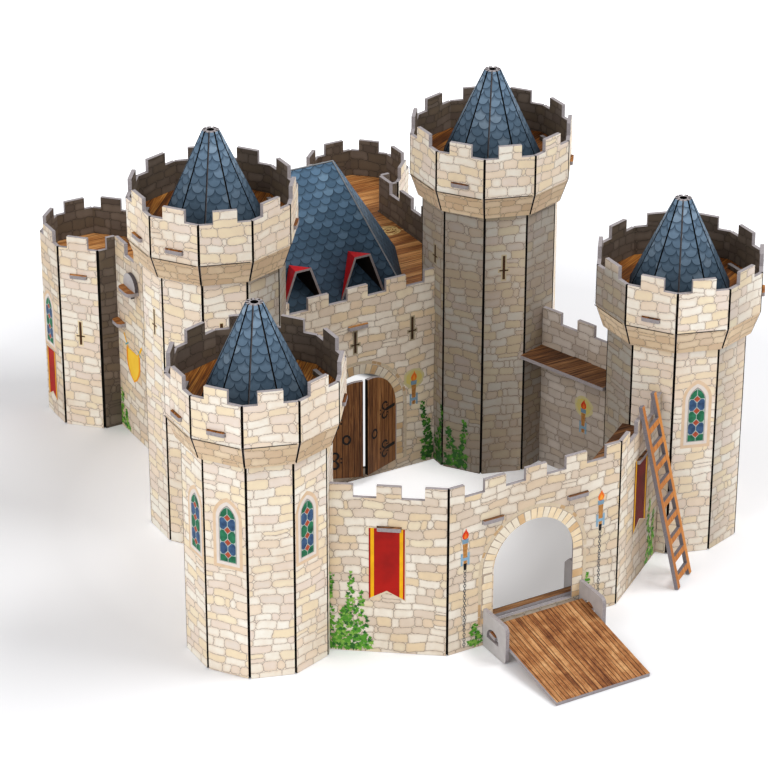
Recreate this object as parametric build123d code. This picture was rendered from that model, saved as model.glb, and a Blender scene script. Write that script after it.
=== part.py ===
"""A toy castle of printed greyboard, slotted together from flat and folded sheets.

Four ten-sided towers stand at the corners of a courtyard. A sheet folded twice makes the
gate wall, with a drawbridge that turns in two brackets. Behind the courtyard stands the
keep: a front wall with two door leaves, side walls that end in eight-sided bastions, a
plank deck and a hipped roof with two dormers. Sizes are in millimetres, +Z is up, +Y runs
from the gate to the keep, and the origin is the middle of the footprint on the ground.
"""

from build123d import *
from math import asin, atan, atan2, cos, degrees, hypot, pi, radians, sin, tan
import os

# Board and joints
board = 2.8  # thickness of the greyboard
skin = 0.5  # paper left at the bottom of a fold groove
gap = 0.3  # clearance round a tab in its slot, and between a wall end and a tower
lock = 4.0  # how far an end tab reaches past the far side of the board it goes through
end_tab_h = 20.0  # height of the tabs on the ends of a wall
end_tab_foot = 16.0  # ground to the lower end tab
end_tab_under = 0.2  # underside of a floor to the end tab below it
floor_tab_out = 2.2  # how far a floor tab shows outside the wall
floor_tab_w = 16.0  # width of a floor tab in a straight wall
tower_tab_w = 13.0  # width of a floor tab in a crown or a bastion
fold_least = 5.0  # a turn under this many degrees gets no groove

# Towers
tower_sides = 10
tower_r = 50.5  # centre to an outer fold of the tower body
crown_out = 9.5  # outer fold of the body to the outer fold of the crown
front_tower_h = 208.0  # ground to the crenel base of the two towers beside the gate
keep_tower_h = 256.0  # the same for the two towers beside the keep
crown_wall_h = 30.0  # crenel base down to the crease
chamfer_h = 17.5  # the sloping flaps under the crease
flap_slit = 1.3  # slit between two sloping flaps
first_fold = -126.0  # direction of the first outer fold, in degrees
seam_fold = 5  # the fold, counted from the first, at which the ends of a tube meet
body_tab_w = 13.0  # tabs on top of a tower body that show above the crown floor
body_tab_out = 3.0
roof_base_r = 36.5  # cone roof at the crown floor
roof_top_r = 6.0
roof_h = 66.0
roof_groove = 1.2
roof_tab_w = 8.0

# Battlements
merlon_h = 9.2
crown_merlon_w = 16.4
crenel_w = 15.5  # gap between two merlons of a straight wall
fold_merlon = 12.2  # fold of the gate wall to the first crenel of the gate panel
wing_merlon = 15.6  # merlon of a wing beside the tower and beside the fold
side_merlon = 17.0  # merlon of a side wall beside the keep tower
side_merlon_front = 13.0
keep_end_merlon = 8.4  # merlon of the keep's front wall beside a tower
bastion_merlon_w = 16.0
deck_drop = 21.0  # crenel base down to the walking surface

# Curtain walls round the courtyard
curtain_h = 118.0  # ground to the crenel base
gate_w = 135.0  # fold to fold
wing_l = 79.0  # tower face to fold
wing_turn = 36.0  # the wings turn back from the gate by this many degrees
wing_shift = 6.2  # wall centre to the centre of the tower face it stands in
side_l = 77.1  # side wall, from tower face to tower face
side_turn = 72.0  # direction of the side walls from the line of the gate
side_shift = 5.6
front_walk_w = 25.0
side_walk_w = 24.0
walk_tab_x = 33.3  # gate centre to the walkway's tabs

# Gate and drawbridge
arch_r = 32.0  # half the width of both arches, and the radius of their tops
arch_spring = 55.0  # ground to where an arch starts to curve
sill_h = 16.6
bracket_x = 38.3  # gate centre to the centre of a bracket
bracket_out = 29.0
bracket_h = 28.5
bracket_round = 4.0
bracket_in = 16.0  # inner part, behind the wall
bracket_in_h = 38.0
bracket_in_cut = 5.0
bracket_neck = (6.0, 24.0)  # the part that goes through the wall
hinge_out = 12.6  # wall face to the drawbridge's pivot
eye_r = 7.5  # the half-round eye in a bracket
eye_flat = 9.4  # ground to the flat side of the eye
eye_rise = 8.6  # flat side to the top of the eye
ear_w = 7.0  # the drawbridge's ears, which turn in the eyes
ear_out = 0.4
bridge_gap = 0.4  # drawbridge to a bracket
bridge_far = 76.5  # pivot to the far edge
bridge_near = 8.5  # pivot to the edge beside the wall
plank_w = 6.0
plank_gap = 1.0

# Keep
keep_h = 148.0  # ground to the crenel base
keep_front_shift = 2.0  # the front wall stands this far in front of the tower centres
bastion_y = 199.2  # tower centre to bastion centre
bastion_a = 38.3  # centre of a bastion to a face
bastion_lip = 6.0  # the last face goes this far past the rear wall
room_floor_z = 91.0  # top of the floor under the deck
corner_tab_w = 12.6  # tab of that floor beside a bastion
corner_tab_out = 6.0
door_sill = 8.0
door_open = 20.5  # the leaves are folded out by this many degrees
leaf_gap = 0.3
leaf_hinge_r = 0.7  # rounded paper hinge of a leaf
key_s = 28.6  # bastion corner to the tab that locks the deck
key_tab_w = 19.5
key_tab_out = 9.0
key_r = 9.8  # half-round key that stands on that tab
key_rise = 2.0
key_tongue_w = 5.0
key_tongue_below = 5.0

# Keep roof and dormers
keep_roof_h = 82.2
keep_roof_ridge = 37.3  # half the ridge
keep_roof_front = 59.2  # half the front edge
keep_roof_mid = 90.0  # half the width at the middle
keep_roof_depth = 68.7  # middle to front edge
keep_roof_board = 2.4
dormer_x = 24.5
dormer_w = 36.0
dormer_top_w = 13.2
dormer_h = 31.6
dormer_up = 2.6  # deck to the foot of a dormer
dormer_board = 1.6

# Ladder
ladder_w = 27.2
ladder_rail = 4.2
ladder_rungs = 9
ladder_pitch = 14.0
ladder_head = 18.0  # open ends above the top rung and below the bottom one
ladder_foot = 5.0
ladder_out = 30.0  # wall to the ladder's foot
ladder_from_fold = 35.2

turn = 360.0 / tower_sides
crown_r = tower_r + crown_out
end_tab_head = deck_drop + board + end_tab_under + end_tab_h
body_a = tower_r * cos(pi / tower_sides)
least = 1.0  # how far a cutting block passes a face that it cuts through


def unit(angle):
    """Unit vector in the ground plane, angle in degrees from +X."""
    return Vector(cos(radians(angle)), sin(radians(angle)))


def left(v):
    """v turned to its left."""
    return Vector(-v.Y, v.X)


def polygon(points):
    """Face with these corners."""
    return make_face(Polyline(*points, close=True))


def mitre(point, into, out, depth):
    """The corner of a line offset to the left by depth, where it turns at point."""
    both = left(into) + left(out)
    return point + both * (depth / (1 + left(into).dot(left(out))))


def folded_plan(points, near=0.0, far=board, closed=False, grooves=True):
    """Plan of a folded sheet, the band from near to far on the left of a line.

    Each fold is cut from the side that opens, down to the skin on the other side, so the
    panels keep square ends and a wedge stands open between them.
    """
    count = len(points)
    sides = {near: [], far: []}
    for i, point in enumerate(points):
        after = points[(i + 1) % count] if closed or i + 1 < count else None
        before = points[i - 1] if closed or i > 0 else None
        out = (after - point).normalized() if after is not None else None
        into = (point - before).normalized() if before is not None else out
        out = out if out is not None else into
        angle = degrees(atan2(into.X * out.Y - into.Y * out.X, into.dot(out)))
        corner = {depth: mitre(point, into, out, depth) for depth in sides}
        opened, hinge = (near, far) if angle > 0 else (far, near)
        half = (far - near) * tan(radians(abs(angle)) / 2)
        sides[hinge].append(corner[hinge])
        if grooves and abs(angle) > fold_least:
            inward = (corner[opened] - corner[hinge]).normalized()
            sides[opened] += [
                corner[opened] - into * half,
                corner[hinge] + inward * skin,
                corner[opened] + out * half,
            ]
        else:
            sides[opened].append(corner[opened])
    if closed:
        return polygon(sides[near]) - polygon(sides[far])
    return polygon(sides[near] + sides[far][::-1])


class Panel:
    """A flat stretch of wall. start and end are on its outer face, and the room is left."""

    def __init__(self, start, end):
        self.start = start
        self.length = (end - start).length
        self.angle = degrees(atan2((end - start).Y, (end - start).X))

    def place(self, shape):
        """Moves a shape from the panel's own axes to its place."""
        return Pos(self.start.X, self.start.Y, 0) * Rot(0, 0, self.angle) * shape

    def block(self, s, d, z):
        """Box over the ranges s along the panel, d inward from its outer face, and z."""
        box = Box(s[1] - s[0], d[1] - d[0], z[1] - z[0], align=(Align.MIN,) * 3)
        return self.place(Pos(s[0], d[0], z[0]) * box)

    def crenels(self, ranges, base):
        """The cuts between merlons, through the board and out of the top."""
        through = (-least, board + least)
        return [self.block(s, through, (base, base + merlon_h + least)) for s in ranges]


def panels_of(points):
    return [Panel(a, b) for a, b in zip(points, points[1:])]


def even_crenels(length, count, first, last):
    """Ranges of count crenels with even merlons between, first and last left standing."""
    merlon = 0.0
    if count > 1:
        merlon = (length - first - last - count * crenel_w) / (count - 1)
    starts = [first + i * (crenel_w + merlon) for i in range(count)]
    return [(s, s + crenel_w) for s in starts]


def end_joints(panel, base, at_start=True, at_end=True):
    """Tabs on the ends of a wall, and the slots they need in what they go through."""
    reach = gap + board + lock
    tabs, slots = [], []
    for z in (end_tab_foot, base - end_tab_head):
        ends = []
        if at_start:
            ends.append((-reach, least, -reach - least, 0.0))
        if at_end:
            far = panel.length
            ends.append((far - least, far + reach, far, far + reach + least))
        for a, b, slot_a, slot_b in ends:
            tabs.append(panel.block((a, b), (0, board), (z, z + end_tab_h)))
            slots.append(
                panel.block(
                    (slot_a, slot_b), (-gap, board + gap), (z - gap, z + end_tab_h + gap)
                )
            )
    return tabs, slots


def floor_tab(panel, s, width, top, out=floor_tab_out):
    """A floor's tab that shows outside a wall, and its slot in that wall."""
    rounded = RectangleRounded(width, 2 * (out + board + 2 * gap), out / 2)
    tab = extrude(rounded, board)
    tab = panel.place(Pos(s, board + 2 * gap, top - board) * tab)
    half = width / 2 + gap
    slot = panel.block((s - half, s + half), (-least, board + least), (top - board - gap, top + gap))
    return tab, slot


def cut(shape, tools):
    for tool in tools:
        shape = shape - tool
    return shape


def joined(shape, pieces):
    for piece in pieces:
        shape = shape + piece
    return shape


def ring(radius, count=tower_sides, start=first_fold, centre=Vector(0, 0)):
    """Corners of a regular outline, counter-clockwise."""
    return [centre + unit(start + i * 360.0 / count) * radius for i in range(count)]


def ring_panels(radius):
    points = ring(radius)
    return panels_of(points + points[:1])


def seam(radius, bottom, top):
    """The slit where the two ends of a sheet meet after it is folded to a tube."""
    slit = Box(radius, gap, top - bottom, align=(Align.MIN, Align.CENTER, Align.MIN))
    start = radius - 2 * board
    return Rot(0, 0, first_fold + seam_fold * turn) * Pos(start, 0, bottom) * slit


def radial(angle, width, inner, outer, bottom, top):
    """Box across a ring, centred on a direction."""
    box = Box(outer - inner, width, top - bottom, align=(Align.MIN, Align.CENTER, Align.MIN))
    return Rot(0, 0, angle) * Pos(inner, 0, bottom) * box


def polyhedron(faces):
    """Solid with flat faces, each given by its corners."""
    return Solid(Shell([Face(Wire.make_polygon(corners, close=True)) for corners in faces]))


def frustum(low_r, high_r, low, high):
    """Solid between two ten-sided outlines."""
    foot = [p + Vector(0, 0, low) for p in ring(low_r)]
    head = [p + Vector(0, 0, high) for p in ring(high_r)]
    sides = []
    for i in range(tower_sides):
        after = (i + 1) % tower_sides
        sides.append([foot[i], foot[after], head[after], head[i]])
    return polyhedron([foot[::-1], head] + sides)


# Tower pieces, each made round its own axis

crown_face = crown_r * cos(pi / tower_sides)
# The flaps end just outside the body, with their thickness measured across the slope
flap_low_a = body_a + gap + board / cos(atan((crown_face - body_a - board) / chamfer_h))
flap_slope = atan((crown_face - flap_low_a) / chamfer_h)
flap_across = board / cos(flap_slope)
body_tab_faces = (0.0, 4 * turn)
roof_tab_faces = (0.0, 2 * turn, 5 * turn, 7 * turn)
cone_slope = atan((roof_base_r - roof_top_r) / roof_h)
cone_across = board / cos(cone_slope) / cos(pi / tower_sides)


def to_corner(apothem):
    return apothem / cos(pi / tower_sides)


def cone_radius(height):
    """Outer corner radius of the cone roof, height measured from the crown floor."""
    return roof_base_r - height * tan(cone_slope)


def tower_body(base):
    """Tube from the ground to the underside of the crown floor."""
    height = base - deck_drop - board
    body = extrude(folded_plan(ring(tower_r), closed=True), height)
    body = body - seam(tower_r, -least, height + least)
    top = height + board + body_tab_out
    for angle in body_tab_faces:
        body = body + radial(angle, body_tab_w, body_a - board, body_a, height - least, top)
    return body


def crown(base, tabs):
    """Battlement sheet with sloping flaps under it."""
    crease = base - crown_wall_h
    sheet = extrude(folded_plan(ring(crown_r), closed=True), crown_wall_h + merlon_h)
    sheet = Pos(0, 0, crease) * sheet
    for panel in ring_panels(crown_r):
        edge = (panel.length - crown_merlon_w) / 2
        ranges = ((-board, edge), (panel.length - edge, panel.length + board))
        sheet = cut(sheet, panel.crenels(ranges, base))
    low = crease - chamfer_h
    outer = frustum(to_corner(flap_low_a), crown_r, low, crease)
    inner = frustum(
        to_corner(flap_low_a - flap_across), to_corner(crown_face - flap_across), low, crease
    )
    flaps = outer - inner
    for i in range(tower_sides):
        angle = first_fold + i * turn
        flaps = flaps - radial(angle, flap_slit, tower_r / 2, crown_r + board, low - least, crease)
    sheet = sheet + flaps
    sheet = sheet - seam(crown_r, low - least, base + merlon_h + least)
    return cut(sheet, [slot for _, slot in tabs])


def crown_floor(base, tabs):
    """Plank floor on the tower body, with tabs through the crown wall."""
    top = base - deck_drop
    plate = extrude(polygon(ring(to_corner(crown_face - board - gap))), board)
    plate = Pos(0, 0, top - board) * plate
    plate = joined(plate, [tab for tab, _ in tabs])
    for angle in body_tab_faces:
        inner, outer = body_a - board - gap, body_a + gap
        plate = plate - radial(
            angle, body_tab_w + 2 * gap, inner, outer, top - 2 * board, top + board
        )
    low_a = cone_radius(-board) * cos(pi / tower_sides)
    high_a = (cone_radius(0) - cone_across) * cos(pi / tower_sides)
    for angle in roof_tab_faces:
        plate = plate - radial(
            angle, roof_tab_w + 2 * gap, high_a - gap, low_a + gap, top - 2 * board, top + board
        )
    return plate


def crown_tabs(base, faces):
    """Floor tabs of one crown, on the faces that lie in these directions."""
    panels = ring_panels(crown_r)
    tabs = []
    for face in faces:
        panel = panels[round((face - first_fold) / turn - 0.5) % tower_sides]
        tabs.append(floor_tab(panel, panel.length / 2, tower_tab_w, base - deck_drop))
    return tabs


def cone_roof(base):
    """Ten-sided roof, open at the tip, that plugs into the crown floor."""
    floor = base - deck_drop
    shell = frustum(roof_base_r, roof_top_r, 0, roof_h)
    shell = shell - frustum(roof_base_r - cone_across, roof_top_r - cone_across, 0, roof_h)
    below = frustum(cone_radius(-board), roof_base_r, -board, 0)
    below = below - frustum(cone_radius(-board) - cone_across, roof_base_r - cone_across, -board, 0)
    for angle in roof_tab_faces:
        strip = radial(angle, roof_tab_w, 0, 2 * roof_base_r, -board, 0)
        shell = shell + (below & strip)
    length = hypot(roof_h, roof_base_r - roof_top_r)
    for i in range(tower_sides):
        out = unit(first_fold + i * turn)
        foot = out * roof_base_r
        head = out * roof_top_r + Vector(0, 0, roof_h)
        plane = Plane(origin=(foot + head) * 0.5, x_dir=left(out), z_dir=head - foot)
        groove = Box(roof_groove, 2 * (board - skin), length + 2 * board)
        shell = shell - plane.location * groove
    return Pos(0, 0, floor) * shell


# Plan of the castle, with the gate's outer face on a line along X

fold_left = Vector(-gate_w / 2, 0)
wing = unit(-wing_turn)
wing_out = -left(wing)
front_left = fold_left - wing * (wing_l + body_a) - wing_out * (wing_shift + board / 2)
keep_left = front_left + unit(side_turn) * (2 * body_a + side_l)


def across(v):
    """The same point on the other side of the castle."""
    return Vector(-v.X, v.Y)


centres = {
    "front_left": front_left,
    "front_right": across(front_left),
    "keep_left": keep_left,
    "keep_right": across(keep_left),
}
heights = {name: front_tower_h if "front" in name else keep_tower_h for name in centres}
# The faces of each crown that show a floor tab
tab_faces = {
    "front_left": (180.0, 216.0, 324.0, 36.0),
    "front_right": (216.0, 324.0, 36.0, 108.0),
    "keep_left": (180.0, 216.0, 324.0, 36.0),
    "keep_right": (216.0, 324.0, 36.0, 108.0),
}

# Gate wall: wing, gate panel and wing in one sheet
wing_start = front_left + wing * (body_a + gap) + wing_out * (wing_shift + board / 2)
front_line = [wing_start, fold_left, across(fold_left), across(wing_start)]
front_panels = panels_of(front_line)
curtain_deck = curtain_h - deck_drop


def arch_face(half_width, sill, spring):
    """Upright opening with a round top, drawn about x = 0."""
    box = Pos(0, (sill + spring) / 2) * Rectangle(2 * half_width, spring - sill)
    return box + (Pos(0, spring) * Circle(half_width) & Pos(0, spring + half_width / 2)
                  * Rectangle(2 * half_width, half_width))


def through_wall(face, y):
    """Cuts a face drawn in X and Z through the wall whose outer face is at y."""
    upright = Plane(origin=(0, y + board + least, 0), x_dir=(1, 0, 0), z_dir=(0, -1, 0))
    return extrude(upright.location * face, board + 2 * least)


walk_tabs = [
    floor_tab(front_panels[0], wing_l / 2, floor_tab_w, curtain_deck),
    floor_tab(front_panels[1], gate_w / 2 - walk_tab_x, floor_tab_w, curtain_deck),
    floor_tab(front_panels[1], gate_w / 2 + walk_tab_x, floor_tab_w, curtain_deck),
    floor_tab(front_panels[2], wing_l / 2, floor_tab_w, curtain_deck),
]


def front_wall():
    sheet = extrude(folded_plan(front_line), curtain_h + merlon_h)
    first, gate, last = front_panels
    sheet = cut(sheet, first.crenels(even_crenels(first.length, 2, wing_merlon, wing_merlon), curtain_h))
    sheet = cut(sheet, gate.crenels(even_crenels(gate.length, 4, fold_merlon, fold_merlon), curtain_h))
    sheet = cut(sheet, last.crenels(even_crenels(last.length, 2, wing_merlon, wing_merlon), curtain_h))
    sheet = sheet - through_wall(arch_face(arch_r, sill_h, arch_spring), 0)
    neck = board / 2 + gap
    for side in (-1, 1):
        s = gate_w / 2 + side * bracket_x
        sheet = sheet - gate.block(
            (s - neck, s + neck),
            (-least, board + least),
            (bracket_neck[0] - gap, bracket_neck[1] + gap),
        )
    sheet = cut(sheet, [slot for _, slot in walk_tabs])
    return joined(sheet, front_tabs)


tabs_left, slots_front_left = end_joints(front_panels[0], curtain_h, at_end=False)
tabs_right, slots_front_right = end_joints(front_panels[2], curtain_h, at_start=False)
front_tabs = tabs_left + tabs_right


def walkway(line, tabs, width):
    """Plank strip behind a wall."""
    plan = folded_plan(line, near=board + gap, far=board + gap + width, grooves=False)
    strip = Pos(0, 0, curtain_deck - board) * extrude(plan, board)
    return joined(strip, [tab for tab, _ in tabs])


# Side walls of the courtyard. The east one is the mirror of the west one
side = unit(side_turn)
side_offset = left(side) * (side_shift + board / 2)
side_north = keep_left - side * (body_a + gap) + side_offset
side_south = front_left + side * (body_a + gap) + side_offset
side_line = [side_north, side_south]
side_panel = Panel(*side_line)
side_tabs, side_slots = end_joints(side_panel, curtain_h)
side_walk_tabs = [floor_tab(side_panel, side_panel.length / 2, floor_tab_w, curtain_deck)]


def side_wall():
    sheet = extrude(folded_plan(side_line), curtain_h + merlon_h)
    ranges = even_crenels(side_panel.length, 2, side_merlon, side_merlon_front)
    sheet = cut(sheet, side_panel.crenels(ranges, curtain_h))
    sheet = cut(sheet, [slot for _, slot in side_walk_tabs])
    return joined(sheet, side_tabs)


# Gate brackets, threshold and drawbridge
hinge_y = -hinge_out
hinge_z = eye_flat + eye_rise / 2


def bracket(sign):
    """Plate that goes through the gate wall, with the eye for a drawbridge ear."""
    outer = Pos(-gap - bracket_out / 2, bracket_h / 2) * RectangleRounded(
        bracket_out, bracket_h, bracket_round
    )
    square = Pos(-gap - bracket_out / 4, bracket_h / 2) * Rectangle(bracket_out / 2, bracket_h)
    start = board + gap
    inner = polygon(
        [
            (start, 0),
            (start + bracket_in, 0),
            (start + bracket_in, bracket_in_h - bracket_in_cut),
            (start + bracket_in - bracket_in_cut, bracket_in_h),
            (start, bracket_in_h),
        ]
    )
    low, high = bracket_neck
    middle = (board + 2 * gap + 2 * least) / 2
    neck = Pos(board / 2, (low + high) / 2) * Rectangle(2 * middle, high - low)
    eye = Pos(hinge_y, eye_flat + eye_rise - eye_r) * Circle(eye_r)
    eye = eye & Pos(hinge_y, eye_flat + eye_r) * Rectangle(2 * eye_r, 2 * eye_r)
    face = outer + square + inner + neck - eye
    slot = Pos(plank_y + plank_w / 2, plank_z + board / 2) * Rectangle(
        plank_w / 2 + 2 * gap, board + 2 * gap
    )
    side_view = Plane(origin=(sign * bracket_x - board / 2, 0, 0), x_dir=(0, 1, 0), z_dir=(1, 0, 0))
    return extrude(side_view.location * (face - slot), board)


plank_y = board + plank_gap
plank_z = sill_h - skin


def threshold_plank():
    """Strip behind the sill, with a tab through each bracket."""
    inside = bracket_x - board / 2 - gap
    strip = Box(2 * inside, plank_w, board, align=(Align.CENTER, Align.MIN, Align.MIN))
    reach = 2 * (inside + board + 2 * gap)
    tab = Box(reach, plank_w / 2, board, align=(Align.CENTER, Align.CENTER, Align.MIN))
    return Pos(0, plank_y, plank_z) * (strip + Pos(0, plank_w / 2, 0) * tab)


bridge_half = bracket_x - board / 2 - bridge_gap
# The slope at which the far edge touches the ground
bridge_slope = degrees(asin(hinge_z / hypot(bridge_far, board / 2)) - atan(board / 2 / bridge_far))


def drawbridge():
    """Plank plate with an ear on each side, lowered to the ground."""
    length = bridge_far + bridge_near
    plate = Pos(0, (bridge_near - bridge_far) / 2) * Box(2 * bridge_half, length, board)
    ears = Box(2 * (bridge_half + bridge_gap + board + ear_out), ear_w, board)
    return Pos(0, hinge_y, hinge_z) * Rot(bridge_slope, 0, 0) * (plate + ears)


# Keep
keep_half = -keep_left.X
keep_face = keep_left.Y - keep_front_shift - board / 2
keep_deck = keep_h - deck_drop
bastion = Vector(-keep_half, keep_left.Y + bastion_y)
bastion_r = bastion_a / cos(pi / 8)
keep_front_line = [Vector(-keep_half + body_a + gap, keep_face), Vector(keep_half - body_a - gap, keep_face)]
keep_front_panel = Panel(*keep_front_line)
west_x = bastion.X - board / 2
bastion_corner = Vector(west_x, bastion.Y - bastion_a)
west_line = (
    [Vector(bastion.X + bastion_a, bastion.Y - bastion_lip)]
    + ring(bastion_r, 8, 22.5, bastion)[:6]
    + [bastion_corner, Vector(west_x, keep_left.Y + tower_r + gap)]
)
west_panels = panels_of(west_line)
rear_line = [
    Vector(keep_half - bastion_a - gap, bastion.Y + board / 2),
    Vector(-keep_half + bastion_a + gap, bastion.Y + board / 2),
]
rear_panel = Panel(*rear_line)
keep_front_tabs, keep_front_slots = end_joints(keep_front_panel, keep_h)
west_tabs, west_slots = end_joints(west_panels[-1], keep_h, at_start=False)
rear_tabs, rear_slots = end_joints(rear_panel, keep_h)
deck_front_tab = floor_tab(keep_front_panel, keep_front_panel.length / 2, floor_tab_w, keep_deck)
deck_west_tabs = [
    floor_tab(west_panels[i], west_panels[i].length / 2, tower_tab_w, keep_deck) for i in (3, 5)
]
deck_rear_tab = floor_tab(rear_panel, rear_panel.length / 2, floor_tab_w, keep_deck)


def door_leaf(sign):
    """One leaf of the door, folded out about the edge of its opening."""
    half = arch_r - leaf_gap
    face = arch_face(half, door_sill + leaf_gap, arch_spring)
    width = half
    face = face & Pos(sign * width / 2, keep_h / 2) * Rectangle(width, keep_h)
    edge = Vector(sign * arch_r, keep_face)
    upright = Plane(origin=(0, board, 0), x_dir=(1, 0, 0), z_dir=(0, -1, 0))
    leaf = extrude(upright.location * face, board)
    leaf = Pos(edge.X, edge.Y) * Rot(0, 0, sign * door_open) * Pos(-edge.X, 0) * leaf
    pin_h = arch_spring - door_sill - leaf_gap
    pin = Cylinder(leaf_hinge_r, pin_h, align=(Align.CENTER, Align.CENTER, Align.MIN))
    return leaf + Pos(edge.X, edge.Y + skin, door_sill + leaf_gap) * pin


def keep_front():
    """Front wall of the keep with its two door leaves, one sheet."""
    sheet = extrude(folded_plan(keep_front_line), keep_h + merlon_h)
    ranges = even_crenels(keep_front_panel.length, 4, keep_end_merlon, keep_end_merlon)
    sheet = cut(sheet, keep_front_panel.crenels(ranges, keep_h))
    sheet = sheet - through_wall(arch_face(arch_r, door_sill, arch_spring), keep_face)
    sheet = sheet - deck_front_tab[1]
    return joined(sheet, keep_front_tabs) + door_leaf(-1) + door_leaf(1)


room_tab = floor_tab(
    west_panels[-1], gap + corner_tab_w / 2, corner_tab_w, room_floor_z, corner_tab_out
)
key_tab = floor_tab(west_panels[-1], key_s, key_tab_w, keep_deck, key_tab_out)


def keep_side():
    """Side wall of the keep that folds round its bastion."""
    sheet = extrude(folded_plan(west_line), keep_h + merlon_h)
    for panel in west_panels[:-1]:
        edge = (2 * bastion_a * tan(pi / 8) - bastion_merlon_w) / 2
        ranges = [(-board, edge), (panel.length - edge, panel.length + board)]
        if panel is west_panels[0]:
            ranges = ranges[1:]
        if panel is west_panels[-2]:
            ranges = ranges[:1]
        sheet = cut(sheet, panel.crenels(ranges, keep_h))
    wall = west_panels[-1]
    ranges = even_crenels(wall.length, 3, bastion_merlon_w, side_merlon_front)
    sheet = cut(sheet, wall.crenels(ranges, keep_h))
    sheet = cut(sheet, [slot for _, slot in deck_west_tabs + [room_tab, key_tab]] + rear_slots)
    return joined(sheet, west_tabs)


def deck_key():
    """Half-round plate on a deck tab, outside the wall, with a tongue that locks the tab."""
    half_round = Pos(0, key_rise) * Circle(key_r) & Pos(0, key_r) * Rectangle(2 * key_r, 2 * key_r)
    foot = Pos(0, key_rise / 2) * Rectangle(2 * key_r, key_rise)
    low = -board - key_tongue_below
    tongue = Pos(0, low / 2 + least) * Rectangle(key_tongue_w, -low + 2 * least)
    upright = Plane(origin=(0, -gap, 0), x_dir=(1, 0, 0), z_dir=(0, -1, 0))
    plate = extrude(upright.location * (half_round + foot + tongue), board)
    return west_panels[-1].place(Pos(key_s, 0, keep_deck) * plate)


def key_slot():
    """Slot for the key's tongue in the deck's tab."""
    half = key_tongue_w / 2 + gap
    height = (keep_deck - board - least, keep_deck + least)
    return west_panels[-1].block((key_s - half, key_s + half), (-board - 2 * gap, 0), height)


def rear_wall():
    sheet = extrude(folded_plan(rear_line), keep_h + merlon_h)
    ranges = even_crenels(rear_panel.length, 5, keep_end_merlon, keep_end_merlon)
    sheet = cut(sheet, rear_panel.crenels(ranges, keep_h))
    return joined(sheet - deck_rear_tab[1], rear_tabs)


def mirrored(shape):
    """The same shape on the other side of the castle."""
    return mirror(shape, about=Plane.YZ)


def grown(line):
    """Plan of a wall with the clearance round it."""
    return folded_plan(line, near=-gap, far=board + gap, grooves=False)


def keep_room():
    """Plan of the space inside the keep's walls."""
    outline = polygon(west_line[::-1] + [across(p) for p in west_line])
    front = Pos(0, (keep_face + bastion.Y) / 2) * Rectangle(2 * keep_half, bastion.Y - keep_face)
    room = outline + front
    west = grown(west_line)
    walls = [grown(keep_front_line), west, mirror(west, about=Plane.YZ), grown(rear_line)]
    for name in ("keep_left", "keep_right"):
        walls.append(polygon(ring(to_corner(body_a + gap), centre=centres[name])))
    room = cut(room, walls)
    return max(room.faces(), key=lambda face: face.area)


def keep_deck_plate():
    """Plank deck of the keep and its bastions."""
    plate = Pos(0, 0, keep_deck - board) * extrude(keep_room(), board)
    tabs = [tab for tab, _ in deck_west_tabs] + [key_tab[0] - key_slot()]
    return joined(plate, [deck_front_tab[0], deck_rear_tab[0]] + tabs + [mirrored(t) for t in tabs])


def keep_room_floor():
    """Floor under the deck, with a tab through each side wall beside its bastion."""
    depth = bastion_corner.Y - keep_face
    cover = Pos(0, keep_face + depth / 2) * Rectangle(2 * keep_half, depth)
    plate = extrude(keep_room() & cover, board)
    plate = Pos(0, 0, room_floor_z - board) * plate
    return plate + room_tab[0] + mirrored(room_tab[0])


# Keep roof, with its middle between the front wall and the rear wall
roof_mid_y = (keep_face + board + bastion.Y) / 2


def hipped(front, middle, depth, ridge, height):
    """Closed roof shape on a six-cornered base, about its own middle."""
    base = [(-front, -depth), (front, -depth), (middle, 0), (front, depth), (-front, depth), (-middle, 0)]
    base = [Vector(x, y, 0) for x, y in base]
    right_end, left_end = Vector(ridge, 0, height), Vector(-ridge, 0, height)
    return polyhedron(
        [
            base[::-1],
            [base[0], base[1], right_end, left_end],
            [base[1], base[2], right_end],
            [base[2], base[3], right_end],
            [base[3], base[4], left_end, right_end],
            [base[4], base[5], left_end],
            [base[5], base[0], left_end],
        ]
    )


def keep_roof():
    solid = hipped(keep_roof_front, keep_roof_mid, keep_roof_depth, keep_roof_ridge, keep_roof_h)
    floor = solid.faces().sort_by(Axis.Z)[0]
    shell = offset(solid, amount=-keep_roof_board, openings=floor)
    return Pos(0, roof_mid_y, keep_deck) * shell


def dormer(sign):
    """Red folded hood on the front slope, open in front and against the roof."""
    slope = keep_roof_h / keep_roof_depth
    front_y = -keep_roof_depth + dormer_up / slope
    back_y = front_y + (dormer_h * 5 / 6) / slope
    lift = gap * hypot(1, slope)

    def on_roof(x, y):
        return Vector(x, y, (y + keep_roof_depth) * slope + lift)

    foot_left, foot_right = on_roof(-dormer_w / 2, front_y), on_roof(dormer_w / 2, front_y)
    back = on_roof(0, back_y)
    top = foot_left.Z + dormer_h
    top_left, top_right = Vector(-dormer_top_w / 2, front_y, top), Vector(dormer_top_w / 2, front_y, top)
    mouth = [foot_left, foot_right, top_right, top_left]
    solid = polyhedron(
        [
            mouth,
            [top_left, top_right, back],
            [foot_right, back, top_right],
            [foot_left, top_left, back],
            [foot_left, back, foot_right],
        ]
    )
    front = solid.faces().sort_by(Axis.Y)[0]
    under = max(solid.faces(), key=lambda f: f.normal_at().dot(Vector(0, slope, -1)))
    hood = offset(solid, amount=-dormer_board, openings=[front, under])
    return Pos(sign * dormer_x, roof_mid_y, keep_deck) * hood


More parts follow.
